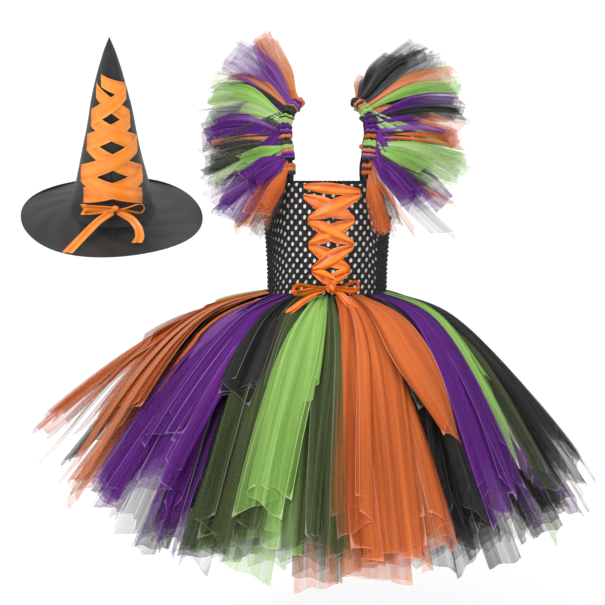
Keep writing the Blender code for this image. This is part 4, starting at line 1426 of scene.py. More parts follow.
WINGS = {
    "left": (
        Wing("a_orange", "orange", 0.095, (-0.0917, -0.090, -0.1910), (-0.1354, -0.098, -0.1915)),
        Wing("b_purple", "purple", 0.205, (-0.1400, -0.104, -0.1830), (-0.1624, -0.104, -0.1456)),
        Wing("c_olive", "olive", 0.310, (-0.1690, -0.094, -0.1317), (-0.1840, -0.086, -0.0870)),
        Wing("d_purple", "purple", 0.410, (-0.1879, -0.066, -0.0742), (-0.1792, -0.048, -0.0300)),
        Wing("e_green", "green", 0.510, (-0.1812, -0.030, -0.0150), (-0.1660, -0.008, 0.0400)),
        Wing("f_lilac", "lilac", 0.610, (-0.1626, 0.010, 0.0560), (-0.1190, 0.026, 0.0880)),
        Wing("g_orange", "orange", 0.710, (-0.1170, 0.042, 0.0980), (-0.0900, 0.050, 0.1090)),
        Wing("h_purple", "purple", 0.880, (-0.1500, 0.106, 0.0000), (-0.1350, 0.118, -0.1300)),
    ),
    "right": (
        Wing("a_orange", "orange", 0.095, (0.0730, -0.090, -0.1960), (0.0990, -0.092, -0.1850)),
        Wing("b_purple", "purple", 0.205, (0.1110, -0.098, -0.1600), (0.1750, -0.100, -0.1520)),
        Wing("c_green", "green", 0.310, (0.1860, -0.092, -0.1300), (0.2010, -0.080, -0.0892)),
        Wing("d_orange", "orange", 0.410, (0.2016, -0.066, -0.0760), (0.1965, -0.050, -0.0460)),
        Wing("e_black", "black", 0.510, (0.2040, -0.032, -0.0260), (0.2040, -0.014, 0.0040)),
        Wing("f_green", "green", 0.610, (0.2040, 0.006, 0.0200), (0.1900, 0.020, 0.0600)),
        Wing("g_black", "black", 0.710, (0.1800, 0.036, 0.0700), (0.1400, 0.048, 0.0927)),
        Wing("h_orange", "orange", 0.880, (0.1500, 0.106, 0.0000), (0.1350, 0.118, -0.1300)),
    ),
}


@dataclass(frozen=True)
class Plume:
    """One tail of a ruffle strip: which wing it belongs to, its finish, where on the strap it is knotted, its tip.

    Attributes:
        wing: the wing's first letter.
        cloth: its finish.
        root: share of the strap's length at its knot.
        tip: the middle of its cut end.
        half: half its width in metres.
        slant: how much shorter its cut end is on one side.
        layers: sheets that lie together in it.
        rise: how far its middle arches up, in metres.
    """

    wing: str
    cloth: Cloth
    root: float
    tip: Colour
    half: float
    slant: float = 0.12
    layers: int = 2
    rise: float = 0.006


PLUMES = {
    "left": (
        Plume("g", Cloth.PEACH, 0.485, (-0.103, 0.045, 0.099), 0.016, 0.10, 2, 0.004),
        Plume("g", Cloth.PEACH, 0.460, (-0.088, 0.050, 0.092), 0.013, 0.10, 1, 0.002),
        Plume("g", Cloth.ORANGE, 0.435, (-0.080, 0.030, 0.030), 0.012, 0.20, 2, 0.002),
        Plume("f", Cloth.LILAC, 0.382, (-0.145, 0.030, 0.078), 0.022, 0.14, 2, 0.010),
        Plume("f", Cloth.LILAC, 0.373, (-0.118, 0.035, 0.084), 0.016, 0.12, 1, 0.008),
        Plume("f", Cloth.LILAC, 0.364, (-0.164, 0.020, 0.046), 0.020, 0.16, 1, 0.014),
        Plume("f", Cloth.GREY, 0.356, (-0.168, 0.010, 0.026), 0.013, 0.20, 1, 0.016),
        Plume("f", Cloth.PEACH, 0.347, (-0.150, 0.014, 0.034), 0.012, 0.20, 2, 0.014),
        Plume("f", Cloth.GREY, 0.338, (-0.176, 0.004, 0.014), 0.008, 0.20, 2, 0.016),
        Plume("e", Cloth.GREEN, 0.266, (-0.176, 0.000, 0.001), 0.012, 0.08, 3, 0.020),
        Plume("e", Cloth.BLACK, 0.255, (-0.192, -0.010, -0.018), 0.0030, 0.30, 1, 0.010),
        Plume("e", Cloth.PALE, 0.245, (-0.178, -0.014, -0.019), 0.016, 0.10, 3, 0.016),
        Plume("e", Cloth.PALE, 0.234, (-0.177, -0.026, -0.036), 0.012, 0.10, 2, 0.012),
        Plume("d", Cloth.LILAC, 0.182, (-0.174, -0.040, -0.048), 0.014, 0.10, 2, 0.012),
        Plume("d", Cloth.PURPLE, 0.174, (-0.180, -0.050, -0.055), 0.012, 0.10, 3, 0.008),
        Plume("d", Cloth.BLACK, 0.166, (-0.174, -0.055, -0.068), 0.009, 0.14, 3, 0.006),
        Plume("d", Cloth.PEACH, 0.158, (-0.173, -0.060, -0.076), 0.009, 0.14, 2, 0.004),
        Plume("c", Cloth.GREY, 0.130, (-0.183, -0.075, -0.088), 0.016, 0.14, 3, 0.002),
        Plume("c", Cloth.OLIVE, 0.125, (-0.182, -0.080, -0.100), 0.014, 0.14, 2, 0.002),
        Plume("c", Cloth.GREY, 0.120, (-0.178, -0.086, -0.117), 0.014, 0.14, 2, 0.000),
        Plume("c", Cloth.GREEN, 0.115, (-0.135, -0.082, -0.098), 0.010, 0.20, 2, 0.002),
        Plume("c", Cloth.PALE, 0.110, (-0.172, -0.090, -0.132), 0.014, 0.14, 2, 0.000),
        Plume("b", Cloth.LILAC, 0.084, (-0.166, -0.098, -0.148), 0.018, 0.14, 2, 0.000),
        Plume("b", Cloth.PURPLE, 0.080, (-0.163, -0.102, -0.168), 0.007, 0.20, 3, 0.004),
        Plume("b", Cloth.PURPLE, 0.075, (-0.120, -0.100, -0.128), 0.016, 0.20, 3, 0.004),
        Plume("b", Cloth.LILAC, 0.070, (-0.146, -0.102, -0.178), 0.016, 0.14, 2, -0.002),
        Plume("b", Cloth.BLACK, 0.066, (-0.132, -0.104, -0.186), 0.0030, 0.10, 1, -0.004),
        Plume("a", Cloth.ORANGE, 0.040, (-0.104, -0.100, -0.172), 0.020, 0.30, 3, 0.008),
        Plume("a", Cloth.PEACH, 0.030, (-0.128, -0.096, -0.196), 0.014, 0.20, 2, 0.002),
        Plume("a", Cloth.GREY, 0.020, (-0.103, -0.090, -0.200), 0.012, 0.12, 2, 0.002),
    ),
    "right": (
        Plume("g", Cloth.PEACH, 0.485, (0.062, 0.045, 0.040), 0.014, 0.14, 2, 0.004),
        Plume("g", Cloth.GREY, 0.473, (0.078, 0.045, 0.046), 0.013, 0.14, 2, 0.004),
        Plume("g", Cloth.BLACK, 0.460, (0.110, 0.040, 0.068), 0.018, 0.18, 3, 0.008),
        Plume("g", Cloth.GREY, 0.448, (0.141, 0.036, 0.088), 0.016, 0.18, 2, 0.008),
        Plume("g", Cloth.BLACK, 0.435, (0.156, 0.030, 0.072), 0.013, 0.18, 2, 0.010),
        Plume("f", Cloth.GREY, 0.382, (0.176, 0.020, 0.058), 0.014, 0.16, 2, 0.012),
        Plume("f", Cloth.PEACH, 0.360, (0.194, 0.010, 0.037), 0.014, 0.14, 2, 0.012),
        Plume("f", Cloth.GREEN, 0.338, (0.200, 0.002, 0.014), 0.010, 0.10, 3, 0.014),
        Plume("e", Cloth.PURPLE, 0.266, (0.200, -0.010, -0.002), 0.009, 0.14, 3, 0.012),
        Plume("e", Cloth.BLACK, 0.255, (0.203, -0.018, -0.020), 0.012, 0.14, 3, 0.010),
        Plume("e", Cloth.GREY, 0.245, (0.206, -0.020, -0.026), 0.014, 0.14, 2, 0.008),
        Plume("e", Cloth.PURPLE, 0.234, (0.160, -0.026, -0.034), 0.012, 0.20, 2, 0.008),
        Plume("d", Cloth.LILAC, 0.182, (0.191, -0.042, -0.051), 0.012, 0.14, 3, 0.008),
        Plume("d", Cloth.BLACK, 0.170, (0.182, -0.054, -0.064), 0.010, 0.14, 3, 0.006),
        Plume("d", Cloth.ORANGE, 0.158, (0.194, -0.060, -0.069), 0.010, 0.14, 3, 0.006),
        Plume("c", Cloth.GREEN, 0.130, (0.196, -0.078, -0.092), 0.012, 0.14, 2, 0.004),
        Plume("c", Cloth.PALE, 0.125, (0.194, -0.086, -0.108), 0.018, 0.14, 3, 0.002),
        Plume("c", Cloth.PALE, 0.120, (0.174, -0.090, -0.132), 0.018, 0.14, 2, 0.000),
        Plume("c", Cloth.GREEN, 0.115, (0.150, -0.088, -0.104), 0.012, 0.20, 2, 0.002),
        Plume("c", Cloth.GREY, 0.110, (0.146, -0.090, -0.126), 0.014, 0.14, 3, 0.000),
        Plume("b", Cloth.PURPLE, 0.084, (0.124, -0.100, -0.152), 0.017, 0.18, 3, 0.004),
        Plume("b", Cloth.PEACH, 0.078, (0.176, -0.096, -0.159), 0.010, 0.20, 2, 0.000),
        Plume("b", Cloth.LILAC, 0.072, (0.150, -0.098, -0.166), 0.014, 0.20, 1, 0.000),
        Plume("b", Cloth.GREY, 0.066, (0.176, -0.088, -0.204), 0.012, 0.30, 1, -0.004),
        Plume("a", Cloth.ORANGE, 0.040, (0.123, -0.100, -0.196), 0.004, 0.20, 1, 0.000),
        Plume("a", Cloth.GREY, 0.030, (0.098, -0.094, -0.196), 0.012, 0.20, 2, 0.000),
        Plume("a", Cloth.ORANGE, 0.020, (0.080, -0.092, -0.194), 0.013, 0.14, 2, 0.004),
    ),
}


@dataclass
class Shoulder:
    """A strap with its ruffle of tulle strips."""

    side: int
    form: StrapForm = field(default_factory=StrapForm)

    @property
    def label(self) -> str:
        """Which side the viewer sees it on."""
        return "left" if self.side < 0 else "right"

    def strap(self) -> bpy.types.Object:
        """The strap: net wound round itself, a flat oval whose size and turn wander along it."""
        share = np.linspace(0.0, 1.0, 90)
        line = self.form.line(share, self.side)
        _, wide, thick = self.form.frame(share, self.side)
        turn = np.arange(20)[:, None] / 20 * 2.0 * math.pi
        twist = turn + 9.0 * share[None, :]
        swell = 1.0 + 0.10 * np.sin(5.0 * twist) + 0.12 * np.sin(60.0 * share[None, :])
        points = (
            line[None]
            + wide[None] * (self.form.width / 2 * np.cos(turn) * swell)[:, :, None]
            + thick[None] * (self.form.thick / 2 * np.sin(turn) * swell)[:, :, None]
        )
        # Painted light and shade: the bulges of the wound net are painted lit, the grooves between them shaded.
        patch = patch_from(points, 0.03, 0.26, round_it=True, ridge=0.5 + 0.5 * np.sin(5.0 * twist))
        return mesh_piece(f"strap_{self.label}_net", [patch], [Cloth.BLACK.material()])

    def knot(self, share: float) -> Patch:
        """A ring of bunched net round the strap at that share of its length."""
        centre = self.form.line(np.array([share]), self.side)[0]
        _, wide, thick = self.form.frame(np.array([share]), self.side)
        turn = np.linspace(0.0, 2.0 * math.pi, 33)[:, None]
        ring = centre + wide * (self.form.width / 2 + 0.0012) * np.cos(turn) + thick * (self.form.thick / 2 + 0.0012) * np.sin(turn)
        bunch = 0.0032 + 0.0008 * np.sin(5.0 * turn[:, 0] + 40.0 * share)
        return tube_patch(ring, bunch, 10, tint=0.6)

    def ray(self, root: float, tip: Array, across: Array, along: Array, rise: float) -> Line:
        """A ray from the strap's edge to a tip, arched up as half a sine wave, on a grid.

        Args:
            root: share of the strap's length at the knot.
            tip: the middle of the cut end, or one end for each place across.
            across: direction along the wing's outer edge.
            along: place along, 0 to about 1.
            rise: height of the arch in metres.

        Returns:
            The line with its unit vectors sideways and outwards; outwards faces the viewer.
        """
        start = self.form.line(np.array([root]), self.side)[0]
        ray = np.asarray(tip) - start
        start = start + 0.05 * ray
        points = start + (np.asarray(tip) - start) * along[:, :, None]
        points = points + np.array([0.0, 0.0, 1.0]) * (rise * np.sin(math.pi * np.clip(along, 0.0, 1.0)))[:, :, None]
        ahead = unit(np.asarray(tip) - start)
        sideways = unit(across - (across @ ahead) * ahead)
        out = np.cross(ahead, sideways)
        out = out * (-1.0 if out[1] > 0.0 else 1.0)
        grid = np.ones(along.shape + (1,))
        return Line(points, grid * sideways, grid * out)

    def wing(self, row: Wing, seed: int) -> list[Patch]:
        """The strip's own cloth: sheets fanned evenly from its knot to its outer edge."""
        low, high = np.array(row.low), np.array(row.high)
        patches = []
        for number in range(3):
            rng = np.random.default_rng(seed * 13 + number)
            place = (number + 0.5) / 3.0
            tip = low + (high - low) * place
            hang = Hang(
                half=0.20 * float(np.linalg.norm(high - low)) + 0.004,
                slant=rng.uniform(-0.14, 0.14),
                turned=rng.uniform(0.1, 0.6),
                folds=rng.uniform(1.0, 2.0),
                depth=0.0022,
                root=0.40,
            )
            u, along = strip_ends(hang, 13, 21, rng)
            along = along * rng.uniform(0.90, 1.0)
            line = self.ray(row.root + 0.05 * (place - 0.5), tip, high - low, along, rng.uniform(0.0, 0.006))
            patches.append(strip_patch(line, hang, u, along, rng.uniform(-0.004, 0.004) * along, rng, 0.50))
        return patches

    def plume(self, plume: Plume, row: Wing, seed: int) -> list[Patch]:
        """A tail's sheets, on the ray from its knot to its tip."""
        patches = []
        for sheet in range(plume.layers):
            rng = np.random.default_rng(seed * 5 + sheet)
            hang = Hang(
                half=plume.half * rng.uniform(0.85, 1.1),
                slant=plume.slant * (1.0 if rng.random() < 0.5 else -1.0),
                turned=rng.uniform(0.1, 0.6),
                folds=rng.uniform(1.0, 2.0),
                depth=0.0026 * min(1.0, plume.half / 0.012),
                twist=rng.uniform(-12.0, 12.0),
                root=0.28,
            )
            u, along = strip_ends(hang, 17, 25, rng)
            along = along * (1.0 if sheet == 0 else rng.uniform(0.90, 1.0))
            tip = np.array(plume.tip) + (rng.uniform(-0.005, 0.005, 3) if sheet else 0.0)
            line = self.ray(plume.root, tip, np.array(row.high) - np.array(row.low), along, plume.rise)
            lift = (0.004 - 0.003 * sheet) * smooth_step(along / 0.4)
            patches.append(strip_patch(line, hang, u, along, lift, rng, 0.65))
        return patches

    def build(self) -> None:
        """Strap, then each strip with its knot."""
        strap = self.strap()
        take_up(strap, [f"strap_{self.label}"], Cut(0.018, 0.25, Held.FOLDED, ("crochet_net",)))
        for number, row in enumerate(WINGS[self.label]):
            finishes = [SHEER_OF[row.colour]]
            patches = self.wing(row, 40 + number + 20 * (self.side > 0))
            patches.append(self.knot(row.root))
            for seed, plume in enumerate(PLUMES[self.label]):
                if plume.wing != row.name[0]:
                    continue
                if plume.cloth not in finishes:
                    finishes.append(plume.cloth)
                for patch in [*self.plume(plume, row, seed + 50 * (self.side > 0)), self.knot(plume.root)]:
                    patch.finish = finishes.index(plume.cloth)
                    patches.append(patch)
            piece = mesh_piece(f"wing_{self.label}_{row.name}", patches, [finish.material() for finish in finishes])
            cut = Cut(summed_width(patches, 0.15), 0.15, Held.GATHERED, (strap.name,))
            take_up(piece, [f"ruffle_{self.label}_{row.name}"], cut)


@dataclass(frozen=True)
class LaceLevel:
    """Where a lacing run turns at the side: height, half width and the ribbon's half width above it."""

    z: float
    half_width: float
    half: float


@dataclass(frozen=True)
class LaceShape:
    """How a laced ribbon narrows, turns and sags."""

    end: float
    gap: float
    bulge: float
    sag: float
    steps: int = 18


def laced(levels: Sequence[LaceLevel], shape: LaceShape, start_side: int) -> tuple[Array, Array, Array, Array]:
    """A ribbon that runs side to side down the levels and turns at each.

    Between two levels its middle runs straight, sagging as half a sine wave, and its half width swells as the same
    wave; round a turn its inner edge stays put and its outer edge swings on an arc.

    Args:
        levels: the turns, from the top down.
        shape: how it narrows, turns and sags.
        start_side: -1 to start at the left, 1 at the right.

    Returns:
        Sideways and height of its points across and along, place across from -1 to 1, and puff from 0 to 1.
    """
    share = np.linspace(0.0, 1.0, shape.steps + 1)
    across = np.linspace(1.0, -1.0, 15)
    sideways, heights, puffs = [], [], []
    for number in range(len(levels) - 1):
        from_side = start_side if number % 2 == 0 else -start_side
        upper, lower = levels[number], levels[number + 1]
        first = upper.z - shape.gap - shape.end
        last = lower.z + shape.gap + shape.end
        arch = np.sin(math.pi * share)
        middle = first + (last - first) * share + shape.sag * arch
        half = shape.end + (upper.half - shape.end) * arch
        reach = upper.half_width + (-lower.half_width - upper.half_width) * share
        run_x = from_side * reach[:, None] + 0.0 * across[None, :]
        run_z = middle[:, None] + half[:, None] * across[None, :]
        puff = np.tile(arch[:, None], (1, 15))
        if from_side > 0:
            run_x, run_z = run_x[:, ::-1], run_z[:, ::-1]
        sideways.append(run_x)
        heights.append(run_z)
        puffs.append(puff)
        if number == len(levels) - 2:
            continue
        turn = np.radians(np.linspace(60.0, -60.0, 7))[:, None]
        radius = shape.gap + (1.0 + across[None, :]) * shape.end
        flat = shape.bulge / (shape.gap + 2.0 * shape.end)
        fan_x = -from_side * (lower.half_width + np.cos(turn) * radius * flat)
        fan_z = lower.z + np.sin(turn) * radius
        if from_side > 0:
            fan_x, fan_z = fan_x[:, ::-1], fan_z[:, ::-1]
        sideways.append(fan_x)
        heights.append(fan_z)
        puffs.append(0.0 * fan_x)
    return tuple(np.concatenate(part).T for part in (sideways, heights)) + (across, np.concatenate(puffs).T)


def ribbon_folds(across: Array, along: Array, puff: Array, seed: int) -> Array:
    """Soft folds of a laced ribbon: ridges that run along it and gather where it narrows."""
    rng = np.random.default_rng(seed)
    broad = wrinkles(across[:, None], along[None, :] / 14.0, 1.5, rng)
    fine = wrinkles(across[:, None], along[None, :] / 12.0, 3.4, rng)
    return 0.75 * broad + 0.35 * fine * (1.0 - 0.6 * puff)


@dataclass
class Lacing:
    """Satin ribbon laced down the front of the tube, tied in a bow at the waist."""

    form: TubeForm = field(default_factory=TubeForm)
    skirt: SkirtForm = field(default_factory=SkirtForm)
    shift: float = 0.0040
    lift: float = 0.0018
    shape: LaceShape = field(default_factory=lambda: LaceShape(0.0034, 0.0006, 0.0030, 0.0))
    levels: tuple[LaceLevel, ...] = (
        LaceLevel(-0.1215, 0.0395, 0.0080),
        LaceLevel(-0.1366, 0.0395, 0.0125),
        LaceLevel(-0.1735, 0.0306, 0.0125),
        LaceLevel(-0.2090, 0.0300, 0.0125),
        LaceLevel(-0.2450, 0.0250, 0.0100),
        LaceLevel(-0.2660, 0.0080, 0.0100),
    )

    def run(self, name: str, levels: Sequence[LaceLevel], lift: float, seed: int) -> bpy.types.Object:
        """One run of ribbon on the tube's front, puffed off it between its turns."""
        x, z, across, puff = laced(levels, self.shape, -1)
        along = np.arange(x.shape[1], dtype=float)
        folds = ribbon_folds(across, along, puff, seed)
        out = self.lift + lift + 0.0018 * puff * (1.0 - across[:, None] ** 2) + 0.0015 * folds
        points = self.form.on_front(x + self.shift, z, out)
        length = 0.09 * (len(levels) - 1)
        # Painted light and shade: the ribbon's fold crests are painted lit, its troughs shaded.
        patch = patch_from(points, 0.025, length, ridge=np.clip(0.62 + 0.6 * folds, 0.0, 1.0), edge=np.abs(across[:, None]) + 0.0 * x)
        return mesh_piece(name, [patch], [Cloth.RIBBON.material()])

    def bow(self) -> None:
        """Knot, loops and tails of the waist bow."""
        ribbon = [Cloth.RIBBON.material()]
        depth = float(np.interp(-0.2705, self.form.heights, self.form.half_depths))
        centre = (self.shift, -(depth + 0.0085), -0.2705)
        knot = mesh_piece("bow_knot_tied", [knob((centre[0], centre[1] - 0.002, centre[2]), (0.0075, 0.0058, 0.0072), 3)], ribbon)
        take_up(knot, ["bow_knot"], None)
        loops = (
            ("left", Loop(-1, 0.0070, 0.0450, -0.0010, 0.0062, 0.0070, 0.0068, 40.0)),
            ("right", Loop(1, 0.0060, 0.0310, 0.0050, 0.0072, 0.0080, 0.0068, 48.0)),
        )
        for number, (side, loop) in enumerate(loops):
            patch = loop.patch(centre, 40 + number)
            piece = mesh_piece(f"bow_loop_{side}_ribbon", [patch], ribbon)
            cut = Cut(0.014, 0.115 if side == "left" else 0.090, Held.FOLDED, (knot.name,))
            take_up(piece, [f"bow_loop_{side}"], Cut(summed_width([patch], cut.length), cut.length, cut.held, cut.rests_on))
        for side, sign, angle, reach in (("left", -1, 24.0, 0.185), ("right", 1, 13.0, 0.110)):
            share = np.linspace(0.0, 1.0, 31)
            turn = sign * math.radians(angle) * share**0.8
            line = self.skirt.line(turn, 0.030 + reach * share, Layer.UPPER)
            middle = line.points + line.out * (0.0135 - 0.0050 * share + 0.003 * np.sin(5.0 * share))[:, None]
            middle[:, 0] += sign * 0.0057
            half = 0.0046 + 0.0016 * share
            patch = ribbon_patch(middle, line.side, half, 0.0007, 50 + sign, 0.004)
            piece = mesh_piece(f"bow_tail_{side}_ribbon", [patch], ribbon)
            cut = Cut(0.0115, 0.072 if side == "left" else 0.044, Held.LAID, (knot.name,))
            take_up(piece, [f"bow_tail_{side}"], Cut(summed_width([patch], cut.length), cut.length, cut.held, cut.rests_on))

    def build(self) -> None:
        """The two runs and the bow."""
        under = self.run("lacing_under", self.levels[1:], 0.0, 5)
        over = self.run("lacing_over", self.levels, 0.0019, 6)
        take_up(under, ["lace_under"], Cut(0.018, 0.26, Held.STRETCHED, ("crochet_net",)))
        take_up(over, ["lace_over"], Cut(0.018, 0.33, Held.STRETCHED, ("lacing_under",)))
        self.bow()


@dataclass
class Hat:
    """The pointed hat: satin crown and brim, ribbon laced up its front and tied in a bow."""

    form: HatForm = field(default_factory=HatForm)
    lift: float = 0.0026
    levels: tuple[LaceLevel, ...] = (
        LaceLevel(0.2900, 0.0150, 0.0110),
        LaceLevel(0.2700, 0.0280, 0.0135),
        LaceLevel(0.2175, 0.0376, 0.0155),
        LaceLevel(0.1680, 0.0518, 0.0155),
        LaceLevel(0.1070, 0.0662, 0.0155),
        LaceLevel(0.0680, 0.0600, 0.0150),
    )
    knot: Colour = (0.004, -0.0830, 0.056)
    left_tail: tuple[Colour, ...] = (
        (-0.001, -0.0865, 0.0490),
        (-0.028, -0.0985, 0.0360),
        (-0.050, -0.1200, 0.0215),
        (-0.070, -0.1480, 0.0120),
        (-0.086, -0.1740, 0.0060),
    )
    right_tail: tuple[Colour, ...] = (
        (0.009, -0.0865, 0.0497),
        (0.036, -0.0960, 0.0370),
        (0.048, -0.1120, 0.0240),
        (0.050, -0.1300, 0.0150),
        (0.043, -0.1480, 0.0115),
    )

    def crown(self) -> bpy.types.Object:
        """The cone: the profile carried round, with slanting creases and a seam behind."""
        angle = np.linspace(0.0, 2.0 * math.pi, 97)[:-1][:, None]
        t = np.linspace(0.0, 1.0, 70)[None, :]
        height = self.form.heights[0] + (self.form.heights[-1] - self.form.heights[0]) * t
        rng = np.random.default_rng(31)
        crease = 0.0 * angle * t
        for turns in (2, 3, 5, 7):
            crease = crease + rng.uniform(0.3, 1.0) / turns**0.5 * np.sin(turns * angle + rng.uniform(8.0, 22.0) * t + rng.uniform(0, 6.0))
        out = 0.0008 * crease * smooth_step((1.0 - t) / 0.2)
        points = self.form.to_row(self.form.crown(angle + 0.0 * t, height + 0.0 * angle, out))
        # Painted light and shade: the slanting creases are painted lit on their crests and shaded in their troughs.
        patch = patch_from(points, 0.5, 0.37, ridge=0.5 + 0.2 * crease, round_it=True)
        return mesh_piece("hat_crown_satin", [patch], [Cloth.HAT_SATIN.material()])

    def brim(self) -> bpy.types.Object:
        """The ring brim with slow waves and a bound rim."""
        angle = np.linspace(0.0, 2.0 * math.pi, 161)[:-1][:, None]
        share = np.linspace(0.0, 1.0, 24)[None, :]
        points = self.form.brim(angle + 0.0 * share, 1.025 * share - 0.025 + 0.0 * angle)
        wave = 0.0016 * share * np.sin(5.0 * angle + 4.0 * share) + 0.0009 * np.sin(13.0 * angle - 9.0 * share) * np.sin(math.pi * share)
        points[:, :, 2] += wave
        rim_turn = np.linspace(0.0, 2.0 * math.pi, 241)
        rim = self.form.brim(rim_turn, np.ones_like(rim_turn))
        # Painted light and shade: the bound rim is painted lit all round, and the brim's waves are painted lit on their
        # crests and shaded in their troughs.
        bound = tube_patch(self.form.to_row(rim), np.full(241, 0.0016), 8, ridge=np.full((8, 243), 0.9))
        patch = patch_from(self.form.to_row(points), 1.1, 0.095, ridge=0.5 + 120.0 * wave, round_it=True)
        return mesh_piece("hat_brim_satin", [patch, bound], [Cloth.HAT_SATIN.material()])

    def run(self, name: str, start: int, start_side: int, lift: float, seed: int) -> bpy.types.Object:
        """One ribbon zigzagged up the crown's front, its upright height even and its turns folded on upright lines.

        Between two levels its middle runs straight from side to side; at each fold the later run lies over the
        earlier one.

        Args:
            name: the piece's name.
            start: number of the level where it starts.
            start_side: -1 to start at the viewer's left.
            lift: how far off the crown it lies.
            seed: of its folds.

        Returns:
            The ribbon.
        """
        levels = self.levels[start:]
        across = np.linspace(-1.0, 1.0, 11)[:, None]
        share = np.linspace(0.0, 1.0, 25)[None, :]
        patches = []
        for number, (upper, lower) in enumerate(zip(levels[:-1], levels[1:])):
            rng = np.random.default_rng(seed + number)
            side = start_side * (-1) ** number
            x = side * (upper.half_width + (-lower.half_width - upper.half_width) * share) + 0.0 * across
            middle = upper.z + (lower.z - upper.z) * share
            z = middle + (upper.half + (lower.half - upper.half) * share) * across
            folds = wrinkles(across, share * 2.0, 1.4, rng)
            bow = 0.0012 * np.sin(math.pi * share)
            out = self.lift + lift + 0.0009 * (number % 2) * (1.0 - 2.0 * np.abs(share - 0.5)) + bow + 0.0004 * folds
            out = out + 0.0010 * np.abs(2.0 * share - 1.0) * (1 if number % 2 else 0)
            angle = x / np.interp(z, self.form.heights, self.form.radii)
            points = self.form.to_row(self.form.crown(angle, z, out))
            # Painted light and shade: fold crests are painted lit and troughs shaded; each run is painted dark just
            # before it turns into the fold and light just after.
            shade = 0.62 + 0.25 * folds - 0.45 * np.exp(-(((share - 1.0) / 0.10) ** 2)) + 0.25 * np.exp(-((share / 0.12) ** 2))
            patches.append(
                patch_from(points, 0.028, 0.12, ridge=np.clip(shade, 0.0, 1.0), edge=np.abs(across) + 0.0 * share, tint=0.5)
            )
        return mesh_piece(name, patches, [Cloth.HAT_RIBBON.material()])

    def bow(self) -> None:
        """Knot, loops and tails, shaped in the hat's frame and tipped with it."""
        ribbon = [Cloth.HAT_RIBBON.material()]
        place = (self.knot[0], self.knot[1] - 0.0060, self.knot[2])
        parts = {
            "knot": knob(place, (0.0070, 0.0055, 0.0066), 9),
            "loop_left": Loop(-1, 0.0060, 0.0540, 0.0020, 0.0020, 0.0050, 0.0110, 8.0).patch(place, 60),
            "loop_right": Loop(1, 0.0060, 0.0480, 0.0060, 0.0120, 0.0080, 0.0088, 56.0).patch(place, 61),
        }
        for side, stops in (("left", self.left_tail), ("right", self.right_tail)):
            line = smooth_line(stops, 31)
            ahead = unit(np.gradient(line, axis=0))
            share = np.linspace(0.0, 1.0, 31)[:, None]
            face = unit((1.0 - share) * np.array([0.0, -1.0, 0.3]) + share * np.array([0.0, -0.15, 1.0]))
            line = line + 0.0022 * face
            parts[f"tail_{side}"] = ribbon_patch(line, np.cross(ahead, face), 0.0062 + 0.0030 * share[:, 0], 0.0008, 70, 0.004)
        for label, patch in parts.items():
            patch.points = self.form.to_row(patch.points)
            piece = mesh_piece(f"hat_bow_{label}_ribbon", [patch], ribbon)
            length = {"knot": 0.0, "loop_left": 0.125, "loop_right": 0.125, "tail_left": 0.155, "tail_right": 0.105}[label]
            cut = Cut(summed_width([patch], length), length, Held.FOLDED, ("hat_bow_knot_ribbon",)) if length else None
            take_up(piece, [f"hat_bow_{label}"], cut)

    def build(self) -> None:
        """Crown, brim, lacing and bow."""
        crown, brim = self.crown(), self.brim()
        take_up(crown, ["hat_crown"], Cut(0.53, 0.37, Held.STRETCHED, ("root",), 0.095))
        take_up(brim, ["hat_brim"], Cut(0.36, 0.36, Held.STRETCHED, ("hat_crown_satin",), 0.080))
        under = self.run("hat_lacing_under", 1, -1, 0.0, 15)
        over = self.run("hat_lacing_over", 0, -1, 0.0022, 26)
        take_up(under, ["hat_lace_under"], Cut(0.026, 0.46, Held.STRETCHED, ("hat_crown_satin",)))
        take_up(over, ["hat_lace_over"], Cut(0.026, 0.50, Held.STRETCHED, ("hat_lacing_under",)))
        self.bow()


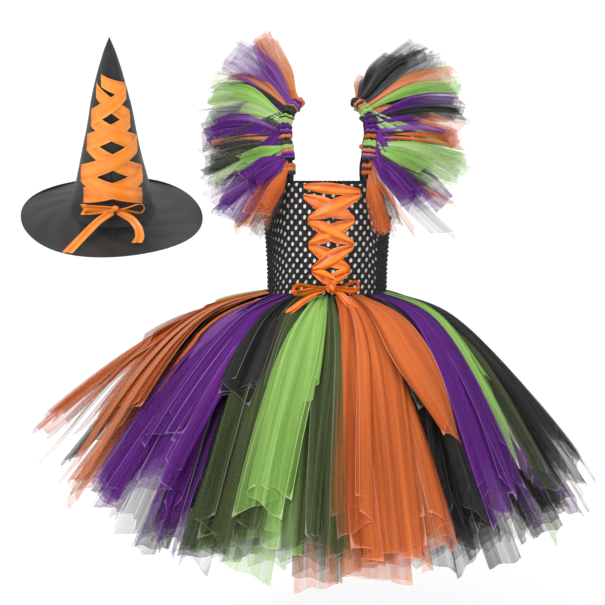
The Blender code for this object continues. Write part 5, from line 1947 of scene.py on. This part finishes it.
@dataclass(frozen=True)
class Studio:
    """The pale floor that sweeps up behind, the soft lights and the camera."""

    floor_z: float = -1.0
    camera_place: Colour = (-0.037, -1.5, -0.119)
    camera_pitch: float = math.radians(6.9)
    focal_pixels: float = 1000.0
    picture_pixels: int = 605

    def floor(self) -> None:
        """A sweep: flat towards the viewer, a quarter round behind, then upright."""
        turn = np.linspace(0.0, math.pi / 2, 24)
        flat_y = np.linspace(-4.0, 2.6, 12)[:-1]
        y = np.concatenate([flat_y, 2.6 + 1.2 * np.sin(turn), [3.8]])
        z = np.concatenate([0.0 * flat_y, 1.2 * (1.0 - np.cos(turn)), [5.0]]) + self.floor_z
        x = np.linspace(-5.0, 5.0, 8)[:, None]
        points = np.stack([x + 0.0 * y, y + 0.0 * x, z + 0.0 * x], axis=-1)
        mesh_piece("floor_sweep", [patch_from(points, 10.0, 9.0)], [Cloth.FLOOR.material()])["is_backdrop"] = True

    def light(self, name: str, place: Colour, aim: Colour, size: float, power: float) -> None:
        """A soft square light at a place, aimed at a point."""
        data = bpy.data.lights.new(name, "AREA")
        data.shape, data.size, data.energy = "SQUARE", size, power
        lamp = bpy.data.objects.new(name, data)
        lamp.location = place
        lamp.rotation_euler = (Vector(aim) - Vector(place)).to_track_quat("-Z", "Y").to_euler()
        bpy.context.collection.objects.link(lamp)

    def camera(self) -> None:
        """The camera at the photograph's angle, its lens from the focal length in pixels."""
        data = bpy.data.cameras.new("camera")
        data.sensor_width = 36.0
        data.lens = 36.0 * self.focal_pixels / self.picture_pixels
        eye = bpy.data.objects.new("camera", data)
        eye.location = self.camera_place
        eye.rotation_euler = (math.pi / 2 - self.camera_pitch, 0.0, 0.0)
        bpy.context.collection.objects.link(eye)
        bpy.context.scene.camera = eye

    def build(self) -> None:
        """Floor, world, lights and camera."""
        self.floor()
        world = bpy.data.worlds.new("pale_room")
        world.use_nodes = True
        shade = world.node_tree.nodes["Background"]
        shade.inputs["Color"].default_value = (1.0, 1.0, 1.0, 1.0)
        shade.inputs["Strength"].default_value = 1.0
        bpy.context.scene.world = world
        bpy.context.scene.view_settings.view_transform = "Standard"
        self.light("key", (-1.3, -2.2, 1.3), (0.0, 0.0, -0.3), 1.2, 45.0)
        self.light("fill", (1.8, -1.8, 0.4), (0.0, 0.0, -0.35), 1.6, 18.0)
        self.camera()


def corners() -> list[list[float]]:
    """Lowest and highest corner of what is shown, as plain lists."""
    return [[float(part) for part in corner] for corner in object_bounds()]


def main() -> None:
    """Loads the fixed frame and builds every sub-assembly round it."""
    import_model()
    CrochetTube().build()
    Skirt().build()
    for side in (-1, 1):
        Shoulder(side).build()
    Lacing().build()
    Hat().build()
    Studio().build()
    bpy.context.view_layer.update()


if __name__ == "__main__":
    logging.basicConfig(level=logging.INFO, format="%(message)s")
    main()
